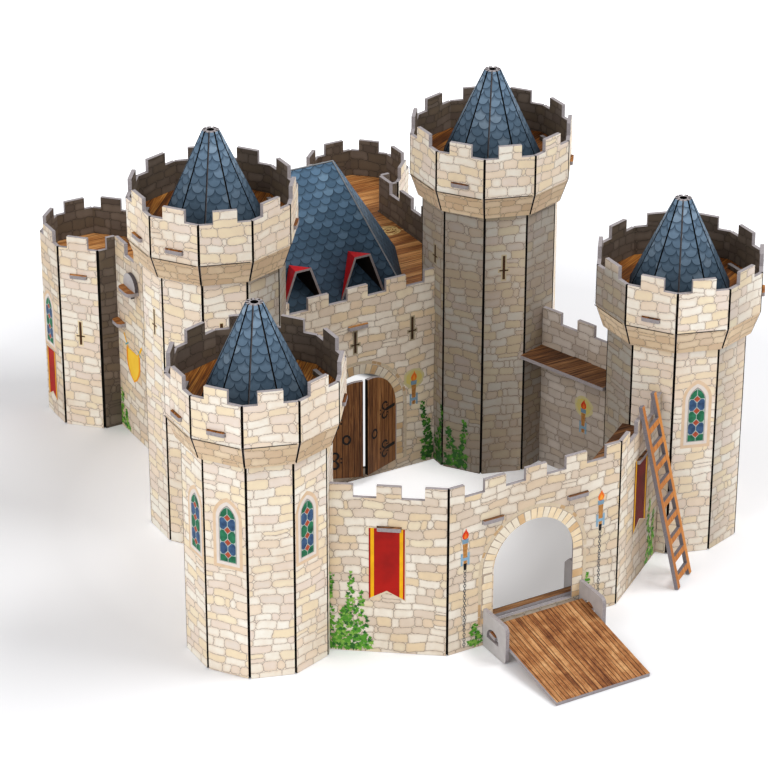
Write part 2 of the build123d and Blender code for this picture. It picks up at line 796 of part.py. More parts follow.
def ladder():
    """Flat cut-out ladder that leans on the right wing of the gate wall."""
    length = ladder_foot + ladder_head + (ladder_rungs - 1) * ladder_pitch + ladder_rail
    plate = Rectangle(ladder_w, length, align=(Align.MIN, Align.MIN))
    hole_w = ladder_w - 2 * ladder_rail
    hole_h = ladder_pitch - ladder_rail
    for i in range(ladder_rungs - 1):
        low = ladder_foot + ladder_rail + i * ladder_pitch
        plate -= Pos(ladder_rail, low) * Rectangle(hole_w, hole_h, align=(Align.MIN, Align.MIN))
    plate -= Pos(ladder_rail, 0) * Rectangle(hole_w, ladder_foot, align=(Align.MIN, Align.MIN))
    plate -= Pos(ladder_rail, length) * Rectangle(hole_w, ladder_head, align=(Align.MIN, Align.MAX))
    wing_panel = front_panels[2]
    along = unit(wing_panel.angle)
    outward = -left(along)
    lean = atan(ladder_out / (curtain_h + merlon_h))
    foot = wing_panel.start + along * ladder_from_fold + outward * (ladder_out + gap)
    normal = outward * cos(lean) + Vector(0, 0, sin(lean))
    place = Plane(origin=foot, x_dir=along, z_dir=normal)
    return place.location * extrude(plate, board)


def build():
    """Every piece by name, in the gate's axes."""
    parts = {}
    slots = {
        "front_left": slots_front_left + side_slots,
        "keep_left": side_slots + keep_front_slots + west_slots,
    }
    slots["front_right"] = slots_front_right + [mirrored(s) for s in side_slots]
    slots["keep_right"] = keep_front_slots + [mirrored(s) for s in side_slots + west_slots]
    for name, centre in centres.items():
        base = heights[name]
        tabs = crown_tabs(base, tab_faces[name])
        spot = Pos(centre.X, centre.Y, 0)
        parts["tower_body_" + name] = cut(spot * tower_body(base), slots[name])
        parts["crown_" + name] = spot * crown(base, tabs)
        parts["crown_floor_" + name] = spot * crown_floor(base, tabs)
        parts["cone_roof_" + name] = spot * cone_roof(base)
    parts["gate_wall"] = front_wall()
    parts["gate_walkway"] = walkway(front_line, walk_tabs, front_walk_w)
    parts["west_wall"] = side_wall()
    parts["east_wall"] = mirrored(parts["west_wall"])
    parts["west_walkway"] = walkway(side_line, side_walk_tabs, side_walk_w)
    parts["east_walkway"] = mirrored(parts["west_walkway"])
    parts["gate_bracket_left"] = bracket(-1)
    parts["gate_bracket_right"] = bracket(1)
    parts["threshold_plank"] = threshold_plank()
    parts["drawbridge"] = drawbridge()
    parts["keep_front_wall"] = keep_front()
    parts["keep_west_wall"] = keep_side()
    parts["keep_east_wall"] = mirrored(parts["keep_west_wall"])
    parts["deck_key_west"] = deck_key()
    parts["deck_key_east"] = mirrored(parts["deck_key_west"])
    parts["keep_rear_wall"] = rear_wall()
    parts["keep_deck"] = keep_deck_plate()
    parts["keep_room_floor"] = keep_room_floor()
    parts["keep_roof"] = keep_roof()
    parts["dormer_left"] = dormer(-1)
    parts["dormer_right"] = dormer(1)
    parts["ladder"] = ladder()
    return parts


parts = build()
box = Compound(children=[Part() + part for part in parts.values()]).bounding_box()
to_origin = Pos(-(box.min.X + box.max.X) / 2, -(box.min.Y + box.max.Y) / 2, 0)
os.makedirs("parts", exist_ok=True)
for name, part in parts.items():
    export_step(to_origin * part, "parts/" + name + ".step")
print("gate face at y", round(to_origin.position.Y, 3), "drawbridge slope", round(bridge_slope, 3))
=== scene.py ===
import random
import bpy
from functools import partial
from math import atan2, cos, degrees, hypot, pi, radians, sin
from mathutils import Matrix, Vector
from mathutils.bvhtree import BVHTree


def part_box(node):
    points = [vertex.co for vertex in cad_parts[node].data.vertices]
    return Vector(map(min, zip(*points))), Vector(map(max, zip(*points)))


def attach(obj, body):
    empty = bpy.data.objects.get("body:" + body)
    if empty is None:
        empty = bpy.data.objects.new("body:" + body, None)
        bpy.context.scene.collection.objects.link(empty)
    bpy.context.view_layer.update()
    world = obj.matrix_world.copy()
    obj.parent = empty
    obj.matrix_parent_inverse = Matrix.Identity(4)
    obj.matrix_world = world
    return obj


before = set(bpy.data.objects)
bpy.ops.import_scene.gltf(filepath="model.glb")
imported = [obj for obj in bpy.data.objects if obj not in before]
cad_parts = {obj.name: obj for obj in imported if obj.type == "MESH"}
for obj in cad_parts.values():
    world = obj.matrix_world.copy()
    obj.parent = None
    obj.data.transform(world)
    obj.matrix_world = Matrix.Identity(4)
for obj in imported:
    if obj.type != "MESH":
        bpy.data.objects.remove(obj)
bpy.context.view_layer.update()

mm = 0.001
board = 2.8  # greyboard
roof_board = 2.4
dormer_board = 1.6

# The plan in millimetres: y counts from the line through the two front towers
court_y = 116.334
towers = {
    "front_left": (-165.8, 0.0),
    "front_right": (165.8, 0.0),
    "keep_left": (-112.3, 164.7),
    "keep_right": (112.3, 164.7),
}
tower_face = 48.0  # centre of a tower to a face of its body
crown_face = 60.0 * cos(pi / 10)
crease_z = {"front_left": 178.0, "front_right": 178.0, "keep_left": 226.0, "keep_right": 226.0}
bastions = {"west": (-112.3, 363.9), "east": (112.3, 363.9)}
bastion_face = 38.3
court_middle = (0.0, 60.0)
keep_middle = (0.0, 270.0)
keep_front_y = 161.0
keep_side_x = 113.7
gate_y = -81.0
wing_fold_x, wing_run = 67.5, 79.0
deck_top = 127.0
roof_middle = (159.9 + board + 363.9) / 2
arch_half, arch_spring = 32.0, 55.0
door_sill, gate_sill = 8.0, 16.6
leaf_open = 20.5  # degrees that the door's leaves stand open
up = Vector((0, 0, 1))


def spot(x, y, z=0.0):
    """Point in metres from the castle's plan in millimetres."""
    return Vector((x, y - court_y, z)) * mm


def away(turn):
    """Level direction at a turn in degrees from +X."""
    return Vector((cos(radians(turn)), sin(radians(turn)), 0))


# Finishes


def shade(code):
    """Linear colour of an sRGB hex code."""
    values = [int(code[i:i + 2], 16) / 255 for i in (1, 3, 5)]
    return [v / 12.92 if v <= 0.04045 else ((v + 0.055) / 1.055) ** 2.4 for v in values] + [1.0]


def wire(tree, kind, inputs=(), out=0, **settings):
    """Add a node with its settings, feed its sockets and give one of its outputs."""
    node = tree.nodes.new(kind)
    for name, value in settings.items():
        setattr(node, name, value)
    named = inputs if isinstance(inputs, dict) else dict(enumerate(inputs))
    for name, value in named.items():
        if isinstance(value, bpy.types.NodeSocket):
            tree.links.new(value, node.inputs[name])
        elif value is not None:
            node.inputs[name].default_value = value
    return node.outputs[out] if node.outputs else node


def ramp(tree, amount, stops, steps=False):
    """Colour or grey over an amount, as stops of place and hex code."""
    out = wire(tree, "ShaderNodeValToRGB", [amount])
    scale = out.node.color_ramp
    scale.interpolation = "CONSTANT" if steps else "LINEAR"
    while len(scale.elements) < len(stops):
        scale.elements.new(0.5)
    for element, (place, code) in zip(scale.elements, stops):
        element.position = place
        element.color = shade(code)
    return out


# Kinds of node. A mix takes its amount in socket 0, two numbers in 2 and 3, and two colours in 6 and 7
MATH = "ShaderNodeMath"
VECTOR = "ShaderNodeVectorMath"
MIX = "ShaderNodeMix"
RANGE = "ShaderNodeMapRange"
NOISE = "ShaderNodeTexNoise"
CELLS = "ShaderNodeTexVoronoi"
CHANCE = "ShaderNodeTexWhiteNoise"
VALUES = "ShaderNodeCombineXYZ"
PARTS = "ShaderNodeSeparateXYZ"
GROUP = "ShaderNodeGroup"
COORDS = "ShaderNodeTexCoord"


def new_group(name, outputs):
    """Empty node group that gives numbers."""
    tree = bpy.data.node_groups.new(name, "ShaderNodeTree")
    for socket in outputs:
        tree.interface.new_socket(socket, in_out="OUTPUT", socket_type="NodeSocketFloat")
    return tree


def make_face_plane():
    """Millimetres across and up each flat face, and a number that differs from face to face."""
    tree = new_group("face plane", ("Across", "Up", "Side"))
    place = wire(tree, COORDS, out="Object")
    normal = wire(tree, "ShaderNodeNewGeometry", out="True Normal")
    level = wire(tree, VECTOR, [(0, 0, 1), normal], operation="CROSS_PRODUCT")
    right = wire(tree, VECTOR, [level], operation="NORMALIZE")
    rise = wire(tree, VECTOR, [normal, right], operation="CROSS_PRODUCT")
    across = wire(tree, VECTOR, [place, right], out="Value", operation="DOT_PRODUCT")
    over = wire(tree, VECTOR, [place, rise], out="Value", operation="DOT_PRODUCT")
    # Faces that look the same way get one number, in steps of 0.2, and other faces another
    turned = wire(tree, VECTOR, [normal, (3.1, 7.7, 1.3)], out="Value", operation="DOT_PRODUCT")
    turned = wire(tree, MATH, [turned, 0.113], operation="ADD")
    wire(tree, "NodeGroupOutput", [
        wire(tree, MATH, [across, 1 / mm], operation="MULTIPLY"),
        wire(tree, MATH, [over, 1 / mm], operation="MULTIPLY"),
        wire(tree, MATH, [turned, 0.2], operation="SNAP"),
    ])
    return tree


face_plane = make_face_plane()


def make_stone_courses():
    """Hand-laid stones in wavy courses: tone of each, its outline, the gaps and the depth inside."""
    course_h, stone_w = 6.2, 13.0
    course_wander, stone_wander = 0.4, 0.75
    split_above, flat_above = 0.82, 0.95
    tree = new_group("stone courses", ("Tone", "Line", "Gap", "Depth"))
    across, rise, side = wire(tree, GROUP, node_tree=face_plane).node.outputs
    place = wire(tree, VALUES, [across, rise, side])
    # Courses rise and fall by about 2 mm over 30 mm, as in laid rubble, and a little over 6 mm
    drift = wire(tree, NOISE, {"Vector": place, "Scale": 0.033, "Detail": 1.0}, out="Color")
    wave = wire(tree, NOISE, {"Vector": place, "Scale": 0.17, "Detail": 1.0}, out="Color")
    laid = wire(tree, VECTOR, [drift, (7.0, 7.0, 0), place], operation="MULTIPLY_ADD")
    laid = wire(tree, VECTOR, [wave, (1.5, 1.7, 0), laid], operation="MULTIPLY_ADD")
    laid_across, laid_up = wire(tree, PARTS, [laid]).node.outputs[:2]

    def divide(at, wander):
        """Cells along a line: their node, a random colour of each, and how near the next one is."""
        cells = {"W": at, "Scale": 1.0, "Randomness": wander}
        node = wire(tree, CELLS, cells, voronoi_dimensions="1D").node
        edge = wire(tree, CELLS, cells, voronoi_dimensions="1D", feature="DISTANCE_TO_EDGE")
        chance = wire(tree, "ShaderNodeSeparateColor", [node.outputs["Color"]]).node.outputs
        return node.outputs, chance, edge

    row_at = wire(tree, MATH, [laid_up, 1 / course_h], operation="MULTIPLY")
    row_at = wire(tree, MATH, [side, 7.31, row_at], operation="MULTIPLY_ADD")
    row, row_chance, row_edge = divide(row_at, course_wander)
    at = wire(tree, MATH, [laid_across, 1 / stone_w], operation="MULTIPLY")
    at = wire(tree, MATH, [row_chance[0], 57.3, at], operation="MULTIPLY_ADD")
    at = wire(tree, MATH, [side, 3.7, at], operation="MULTIPLY_ADD")
    stone, stone_chance, stone_edge = divide(at, stone_wander)

    # Some stones are split side by side, and a few one above the other
    halves = []
    for cell, where, chance, above, edge, size in (
            (stone, at, stone_chance[1], split_above, stone_edge, stone_w),
            (row, row_at, stone_chance[2], flat_above, row_edge, course_h)):
        split = wire(tree, MATH, [chance, above], operation="GREATER_THAN")
        whole = wire(tree, MATH, [1.0, split], operation="SUBTRACT")
        middle = wire(tree, MATH, [cell["Distance"], whole], operation="ADD")
        near = wire(tree, MATH, [edge, middle], operation="MINIMUM")
        second = wire(tree, MATH, [where, cell["W"]], operation="GREATER_THAN")
        halves.append((wire(tree, MATH, [near, size], operation="MULTIPLY"),
                       wire(tree, MATH, [second, split], operation="MULTIPLY")))
    (from_side, right_half), (from_bed, upper_half) = halves
    half = wire(tree, MATH, [upper_half, 2.0, right_half], operation="MULTIPLY_ADD")
    key = wire(tree, VALUES, [row_chance[1], stone_chance[0], half])
    tone = wire(tree, CHANCE, {"Vector": key}, out="Value", noise_dimensions="3D")

    # Corners are rounded by 1.3 to 2.6 mm, and the outline is a little shaky
    round_r = wire(tree, MATH, [tone, 1.3, 1.3], operation="MULTIPLY_ADD")
    over = []
    for near in (from_side, from_bed):
        past = wire(tree, MATH, [round_r, near], operation="SUBTRACT")
        over.append(wire(tree, MATH, [past, 0.0], operation="MAXIMUM"))
    corner = wire(tree, VECTOR, [wire(tree, VALUES, [*over, 0.0])], out="Value", operation="LENGTH")
    depth = wire(tree, MATH, [round_r, corner], operation="SUBTRACT")
    shake = wire(tree, NOISE, {"Vector": place, "Scale": 0.9, "Detail": 0.0})
    shake = wire(tree, MATH, [shake, 0.5], operation="SUBTRACT")
    depth = wire(tree, MATH, [shake, 0.5, depth], operation="MULTIPLY_ADD")
    # The inked outline is about 0.4 mm wide
    off_line = wire(tree, MATH, [depth], operation="ABSOLUTE")
    line = wire(tree, RANGE, {"Value": off_line, "From Min": 0.08, "From Max": 0.32, "To Min": 1.0, "To Max": 0.0},
                interpolation_type="SMOOTHSTEP")
    gap = wire(tree, MATH, [depth, -0.25], operation="LESS_THAN")
    wire(tree, "NodeGroupOutput", [tone, line, gap, depth])
    return tree


stone_courses = make_stone_courses()


def make_painted_court_shade():
    """How far a face is in the soft shade of the court or of a corner, painted into its colour as shade."""
    tree = new_group("painted court shade", ("Shade",))
    place = wire(tree, COORDS, out="Object")
    normal = wire(tree, "ShaderNodeNewGeometry", out="True Normal")
    height = wire(tree, PARTS, [place], out=2)
    level = wire(tree, VECTOR, [place, (1, 1, 0)], operation="MULTIPLY")
    middle = spot(*court_middle)
    inward = wire(tree, VECTOR, [(middle.x, middle.y, 0), level], operation="SUBTRACT")
    inward_way = wire(tree, VECTOR, [inward], operation="NORMALIZE")
    court = wire(tree, VECTOR, [inward], out="Value", operation="LENGTH")
    facing = wire(tree, VECTOR, [inward_way, normal], out="Value", operation="DOT_PRODUCT")

    def from_spot(x, y):
        return wire(tree, VECTOR, [level, tuple(spot(x, y))], out="Value", operation="DISTANCE")

    def toward(turn):
        return wire(tree, VECTOR, [normal, tuple(away(turn))], out="Value", operation="DOT_PRODUCT")

    corner, tower = from_spot(138, -42), from_spot(*towers["keep_right"])
    under_crown = (height, 0.232, 0.205)
    on_tower = (tower, 0.065, 0.056)
    # Each shade is full where every amount is past its second number, and gone at the first
    shades = (
        (0.62, ((facing, 0.45, 0.9), (court, 0.21, 0.17), under_crown)),  # walls round the court
        (0.4, ((corner, 0.075, 0.02), (toward(-70), 0.8, 0.93))),  # corner of the right wing
        (0.64, (on_tower, (toward(-72), 0.96, 0.99), under_crown)),  # two faces of the right keep tower
        (0.59, (on_tower, (toward(180), 0.96, 0.99), under_crown)),
    )
    total = 0.0
    for amount, ranges in shades:
        for value, none, full in ranges:
            part = wire(tree, RANGE, {"Value": value, "From Min": none, "From Max": full},
                        interpolation_type="SMOOTHSTEP")
            amount = wire(tree, MATH, [part, amount], operation="MULTIPLY")
        total = wire(tree, MATH, [total, amount], operation="MAXIMUM")
    wire(tree, "NodeGroupOutput", [total])
    return tree


painted_court_shade = make_painted_court_shade()


def card(name, paint, roughness=0.6, specular=0.2, court=0.0):
    """Board with a printed sheet on it: the print's colour with the painted court shade, a satin ink film and the
    paper's fine tooth.
    """
    material = bpy.data.materials.new(name)
    material.use_nodes = True
    tree = material.node_tree
    tree.nodes.clear()
    place = wire(tree, COORDS, out="Object")
    colour = paint(tree, place)
    # Painted shade: the court shade, times the court amount, darkens the colour toward a dark brown
    painted_shade = wire(tree, GROUP, node_tree=painted_court_shade)
    painted_shade = wire(tree, MATH, [painted_shade, court], operation="MULTIPLY")
    colour = wire(tree, MIX, {0: painted_shade, 6: colour, 7: shade("#2A2018")}, out=2, data_type="RGBA")
    # Paper tooth is finer than the render shows, so it is drawn at about 0.7 mm
    tooth = wire(tree, NOISE, {"Vector": place, "Scale": 1400.0, "Detail": 2.0})
    bump = wire(tree, "ShaderNodeBump", {"Strength": 0.25, "Distance": 0.012 * mm, "Height": tooth})
    worn = wire(tree, RANGE, {"Value": tooth, "From Min": 0.3, "From Max": 0.7, "To Min": roughness - 0.06,
                              "To Max": roughness + 0.06})
    surface = wire(tree, "ShaderNodeBsdfPrincipled", {
        "Base Color": colour, "Roughness": worn, "Normal": bump, "Specular IOR Level": specular, "IOR": 1.5})
    wire(tree, "ShaderNodeOutputMaterial", {"Surface": surface})
    return material


def stone_paint(stops, ink, mortar, deep):
    """Print of laid stones in a palette, with an inked outline and darker rims."""
    def paint(tree, place):
        tone, line, gap, depth = wire(tree, GROUP, node_tree=stone_courses).node.outputs
        base = ramp(tree, tone, stops, steps=True)
        # Washes of colour inside a stone, over about 6 mm, and a broad tint over about 60 mm
        wash = wire(tree, NOISE, {"Vector": place, "Scale": 160.0, "Detail": 3.0})
        broad = wire(tree, NOISE, {"Vector": place, "Scale": 17.0, "Detail": 1.0})
        rim = wire(tree, RANGE, {"Value": depth, "From Min": 0.2, "From Max": 2.2, "To Min": 0.32, "To Max": 0.0},
                   interpolation_type="SMOOTHSTEP")
        mottle = wire(tree, RANGE, {"Value": wash, "From Min": 0.35, "From Max": 0.75, "To Max": 0.25})
        warm = wire(tree, RANGE, {"Value": broad, "From Min": 0.42, "From Max": 0.68, "To Max": 0.4})
        amount = wire(tree, MATH, [mottle, warm], operation="ADD")
        amount = wire(tree, MATH, [rim, amount], operation="ADD")
        amount = wire(tree, MATH, [amount, 0.9], operation="MINIMUM")
        inked = wire(tree, MATH, [line, 0.85], operation="MULTIPLY")
        for part, code in ((amount, deep), (gap, mortar), (inked, ink)):
            base = wire(tree, MIX, {0: part, 6: base, 7: shade(code)}, out=2, data_type="RGBA")
        return base
    return paint


def wood_paint(stops, joint, plank_w, turn=None, knots=0.5, cloudy=0.0, uneven=0.25):
    """Print of planks with long grain: level boards at a turn in plan, or upright ones on a face."""
    def paint(tree, place):
        if turn is None:
            over, along, seed = wire(tree, GROUP, node_tree=face_plane).node.outputs
        else:
            turned = wire(tree, "ShaderNodeMapping", {"Vector": place, "Rotation": (0, 0, -radians(turn)),
                                                      "Scale": (1 / mm,) * 3}, vector_type="POINT")
            along, over = wire(tree, PARTS, [turned]).node.outputs[:2]
            seed = 0.0
        board_at = {"W": wire(tree, MATH, [over, 1 / plank_w], operation="MULTIPLY"), "Scale": 1.0,
                    "Randomness": uneven}
        chance = wire(tree, CELLS, board_at, out="Color", voronoi_dimensions="1D")
        tone = wire(tree, "ShaderNodeSeparateColor", [chance])
        rim = wire(tree, CELLS, board_at, voronoi_dimensions="1D", feature="DISTANCE_TO_EDGE")
        rim = wire(tree, MATH, [rim, plank_w], operation="MULTIPLY")
        shift = wire(tree, MATH, [tone, 171.0, along], operation="MULTIPLY_ADD")
        # Grain streaks about 0.9 mm wide and 25 mm long, and broad ones about 5 mm wide
        streaks = []
        for run, width, detail in ((0.04, 1.1, {"Detail": 4.0, "Roughness": 0.62, "Distortion": knots}),
                                   (0.012, 0.21, {"Detail": 2.0})):
            at = wire(tree, VALUES, [wire(tree, MATH, [shift, run], operation="MULTIPLY"),
                                     wire(tree, MATH, [over, width], operation="MULTIPLY"), seed])
            streaks.append(wire(tree, NOISE, {"Vector": at, "Scale": 1.0, **detail}))
        grain = wire(tree, MATH, [streaks[0], 0.62], operation="MULTIPLY")
        broad = wire(tree, MATH, [streaks[1], 0.28], operation="MULTIPLY")
        mixed = wire(tree, MATH, [grain, broad], operation="ADD")
        mixed = wire(tree, MATH, [tone, 0.13, mixed], operation="MULTIPLY_ADD")
        if cloudy:
            # Old stains over about 12 mm that run across the boards
            stain = wire(tree, NOISE, {"Vector": place, "Scale": 82.0, "Detail": 4.0, "Roughness": 0.7})
            stain = wire(tree, MATH, [stain, 0.5], operation="SUBTRACT")
            mixed = wire(tree, MATH, [stain, cloudy, mixed], operation="MULTIPLY_ADD")
        base = ramp(tree, mixed, stops)
        dark = wire(tree, RANGE, {"Value": rim, "From Min": 0.14, "From Max": 0.42, "To Min": 0.9, "To Max": 0.0})
        return wire(tree, MIX, {0: dark, 6: base, 7: shade(joint)}, out=2, data_type="RGBA")
    return paint


def slate_paint(stops, deepest_painted_shade):
    """Print of fish-scale slates in a palette, in staggered rows, with painted shade darker to the eaves."""
    slate_w, row_h = 8.7, 5.7

    def paint(tree, place):
        across, rise, side = wire(tree, GROUP, node_tree=face_plane).node.outputs
        row = wire(tree, MATH, [rise, 1 / row_h], operation="MULTIPLY")
        upper = wire(tree, MATH, [row], operation="CEIL")
        drop = wire(tree, MATH, [upper, row], operation="SUBTRACT")
        drop = wire(tree, MATH, [drop, row_h], operation="MULTIPLY")
        # The slate whose round foot hangs into this row, and the one of the row itself
        tones = []
        for rows_down in (0.0, 1.0):
            course = wire(tree, MATH, [upper, rows_down], operation="SUBTRACT")
            odd = wire(tree, MATH, [course, 2.0], operation="FLOORED_MODULO")
            half = wire(tree, MATH, [odd, 0.5], operation="MULTIPLY")
            at = wire(tree, MATH, [across, 1 / slate_w, half], operation="MULTIPLY_ADD")
            number = wire(tree, MATH, [at], operation="FLOOR")
            key = wire(tree, VALUES, [number, course, side])
            tones.append(wire(tree, CHANCE, {"Vector": key}, out="Value", noise_dimensions="3D"))
            if not rows_down:
                off = wire(tree, MATH, [at], operation="FRACT")
                off = wire(tree, MATH, [off, 0.5], operation="SUBTRACT")
                off = wire(tree, MATH, [off, slate_w], operation="MULTIPLY")
                reach = wire(tree, VALUES, [off, drop, 0.0])
                reach = wire(tree, VECTOR, [reach], out="Value", operation="LENGTH")
        inside = wire(tree, MATH, [reach, slate_w / 2], operation="LESS_THAN")
        tone = wire(tree, MIX, {0: inside, 2: tones[1], 3: tones[0]})
        past = wire(tree, MATH, [reach, slate_w / 2], operation="SUBTRACT")
        # Outline about 0.5 mm wide, then the upper slate's shade over 2.4 mm of the lower one
        off_line = wire(tree, MATH, [past], operation="ABSOLUTE")
        line = wire(tree, RANGE, {"Value": off_line, "From Min": 0.12, "From Max": 0.45, "To Min": 0.9,
                                  "To Max": 0.0})
        under = wire(tree, RANGE, {"Value": past, "From Max": 2.4, "To Min": 0.6, "To Max": 0.0})
        outside = wire(tree, MATH, [past, 0.0], operation="GREATER_THAN")
        under = wire(tree, MATH, [under, outside], operation="MULTIPLY")
        wash = wire(tree, NOISE, {"Vector": place, "Scale": 300.0, "Detail": 3.0})
        # Painted shade toward the eaves, by the eaves mark
        eaves = wire(tree, "ShaderNodeAttribute", out="Fac", attribute_name="eaves")
        foot = wire(tree, MATH, [wire(tree, MATH, [eaves, deepest_painted_shade], operation="MULTIPLY"), 1.45], operation="POWER")
        base = ramp(tree, tone, stops)
        for part, code in ((wire(tree, MATH, [wash, 0.35], operation="MULTIPLY"), "#38546C"),
                           (wire(tree, MATH, [line, under], operation="MAXIMUM"), "#1E3041"),
                           (foot, "#16242F")):
            base = wire(tree, MIX, {0: part, 6: base, 7: shade(code)}, out=2, data_type="RGBA")
        return base
    return paint


def even_paint(code, deep, size=5.0, most=0.6):
    """Flat ink that is slightly uneven over a size in millimetres."""
    def paint(tree, place):
        cloud = wire(tree, NOISE, {"Vector": place, "Scale": 1 / (size * mm), "Detail": 3.0})
        amount = wire(tree, RANGE, {"Value": cloud, "From Min": 0.35, "From Max": 0.75, "To Max": most})
        return wire(tree, MIX, {0: amount, 6: shade(code), 7: shade(deep)}, out=2, data_type="RGBA")
    return paint


# Printed greyboard, lithographed with laid limestone: the outside print is pale, for the castle's cream walls
outer_stone = card("pale_stone_print", stone_paint(
    [(0.0, "#F8F4E8"), (0.26, "#F3E1BF"), (0.42, "#ECDDD0"), (0.6, "#F7F1E4"), (0.76, "#F1DFC9"),
     (0.88, "#F6E8C9"), (0.95, "#E6DACE")], "#9A8980", "#ECDFCB", "#DCC6AC"), court=1.0)
# The gate wall and the keep have that print too, a little darker as painted shade
shaded_wall_stops = [(0.0, "#F0E9DB"), (0.26, "#E4CEAA"), (0.42, "#DBCBB9"), (0.6, "#EBE3D4"), (0.76, "#E0CAAE"),
              (0.88, "#E7D9BC"), (0.95, "#D6C5B2")]
shaded_wall_paint = stone_paint(shaded_wall_stops, "#86766C", "#D5C7B2", "#C6B198")
gate_stone = card("gate_shaded_stone_print", shaded_wall_paint, court=1.0)
keep_stone = card("keep_shaded_stone_print", shaded_wall_paint)
# The same print in tan, on the sloping flaps under a crown
flap_stone = card("tan_stone_print", stone_paint(
    [(0.0, "#E3CBA8"), (0.3, "#DBC0A0"), (0.5, "#E8D3B4"), (0.7, "#D3B795"), (0.88, "#E0C9AE")],
    "#8D7A6B", "#DCC6A6", "#C5A987"))
# The inside print is the same masonry in shade, a brown grey that makes the crowns read as deep
inner_stone = card("shaded_stone_print", stone_paint(
    [(0.0, "#6E6258"), (0.3, "#66594A"), (0.5, "#776A5E"), (0.72, "#5F534A"), (0.88, "#6B5D4D")],
    "#3C342E", "#61564A", "#52473D"))
# The curtain walls' inner print is the same masonry in a lighter painted shade, a grey
curtain_stone = card("grey_shaded_stone_print", stone_paint(
    [(0.0, "#C6BBB0"), (0.3, "#BBAC9C"), (0.5, "#CEC4BA"), (0.72, "#B4A89E"), (0.88, "#C1B2A1")],
    "#7A6E66", "#B8ADA0", "#A6988A"))
# Cut greyboard edge: pressed waste paper, a grey with a little mauve and fine layers
cut_edge = card("cut_greyboard_edge", even_paint("#A29B9C", "#7E7778", 1.2), 0.85)
# Grooves of the scored folds and other narrow recesses are painted black as their shade, which draws the thick lines
# on each corner
painted_fold_shade = card("black_painted_fold_shade", even_paint("#15120F", "#0A0908", 2.0), 0.9, 0.1)
# Grey backing paper, on the sides that carry no picture
grey_back = card("grey_backing_paper", even_paint("#B9B5B4", "#9F9A9A", 8.0), 0.7, 0.25)
# Slates in blue on the keep and in a greyer blue on the towers
slate = card("blue_slate_scale_print", slate_paint(
    [(0.0, "#48647C"), (0.5, "#557490"), (0.85, "#6484A0"), (1.0, "#7594AE")], 0.97), 0.62, 0.15)
grey_slate = card("grey_slate_scale_print", slate_paint(
    [(0.0, "#5E7488"), (0.5, "#6E869C"), (0.85, "#7F96AB"), (1.0, "#92A6B8")], 1.0), 0.62, 0.15)
# Printed oak planks: golden on the keep's deck, deeper in the crowns, and each crown's at its own turn
deck_wood = card("deck_plank_print", wood_paint(
    [(0.3, "#381C0B"), (0.4, "#754220"), (0.5, "#A96C37"), (0.6, "#D2985C"), (0.74, "#EAB87C")],
    "#2A1407", 7.6, turn=0.0))
crown_wood = {side: card(side + "_crown_plank_print", wood_paint(
    [(0.3, "#221004"), (0.4, "#4A270C"), (0.5, "#7A4519"), (0.6, "#A66C2E"), (0.74, "#CA924C")],
    "#2A1407", 8.4, turn=turn)) for side, turn in (("left", 48.0), ("right", 28.0))}
# The drawbridge's narrow boards are weathered, with stains that run across them
bridge_wood = card("drawbridge_plank_print", wood_paint(
    [(0.3, "#40200F"), (0.4, "#6E3E20"), (0.5, "#9C6438"), (0.6, "#BE8A58"), (0.72, "#DEB482")],
    "#24100A", 3.4, turn=90.0, knots=2.6, cloudy=0.4, uneven=0.8))
# Walkways in dark oak, the door in knotted oak and the ladder in orange pine
walk_wood = card("dark_walkway_print", wood_paint(
    [(0.3, "#1C1009"), (0.43, "#4A2D1A"), (0.56, "#7E5534"), (0.7, "#AC8258")], "#1C1008", 6.0, turn=0.0))
door_wood = card("door_plank_print", wood_paint(
    [(0.34, "#281408"), (0.45, "#603A1E"), (0.58, "#8E5E36"), (0.72, "#B88A56")], "#24130A", 4.4, knots=1.6))
ladder_wood = card("ladder_wood_print", wood_paint(
    [(0.3, "#884A18"), (0.5, "#BE7632"), (0.7, "#D89850")], "#8E5020", 9.0))
# Coated card of the dormers, satin red outside; inside, they and the roofs are black
red_coat = card("red_coated_card", even_paint("#D0181C", "#B01216", 12.0), roughness=0.5)
black_back = card("black_card_back", even_paint("#120D0C", "#060505", 6.0), roughness=0.7)
# Cut edges of the ladder and of the deck's keys, a darker grey as painted shade
ladder_edge = card("shaded_greyboard_edge", even_paint("#827B7E", "#625C60", 1.2), 0.85, 0.1)
key_edge = card("shaded_dark_greyboard_edge", even_paint("#5C5658", "#3E3A3C", 1.2), 0.85, 0.1)

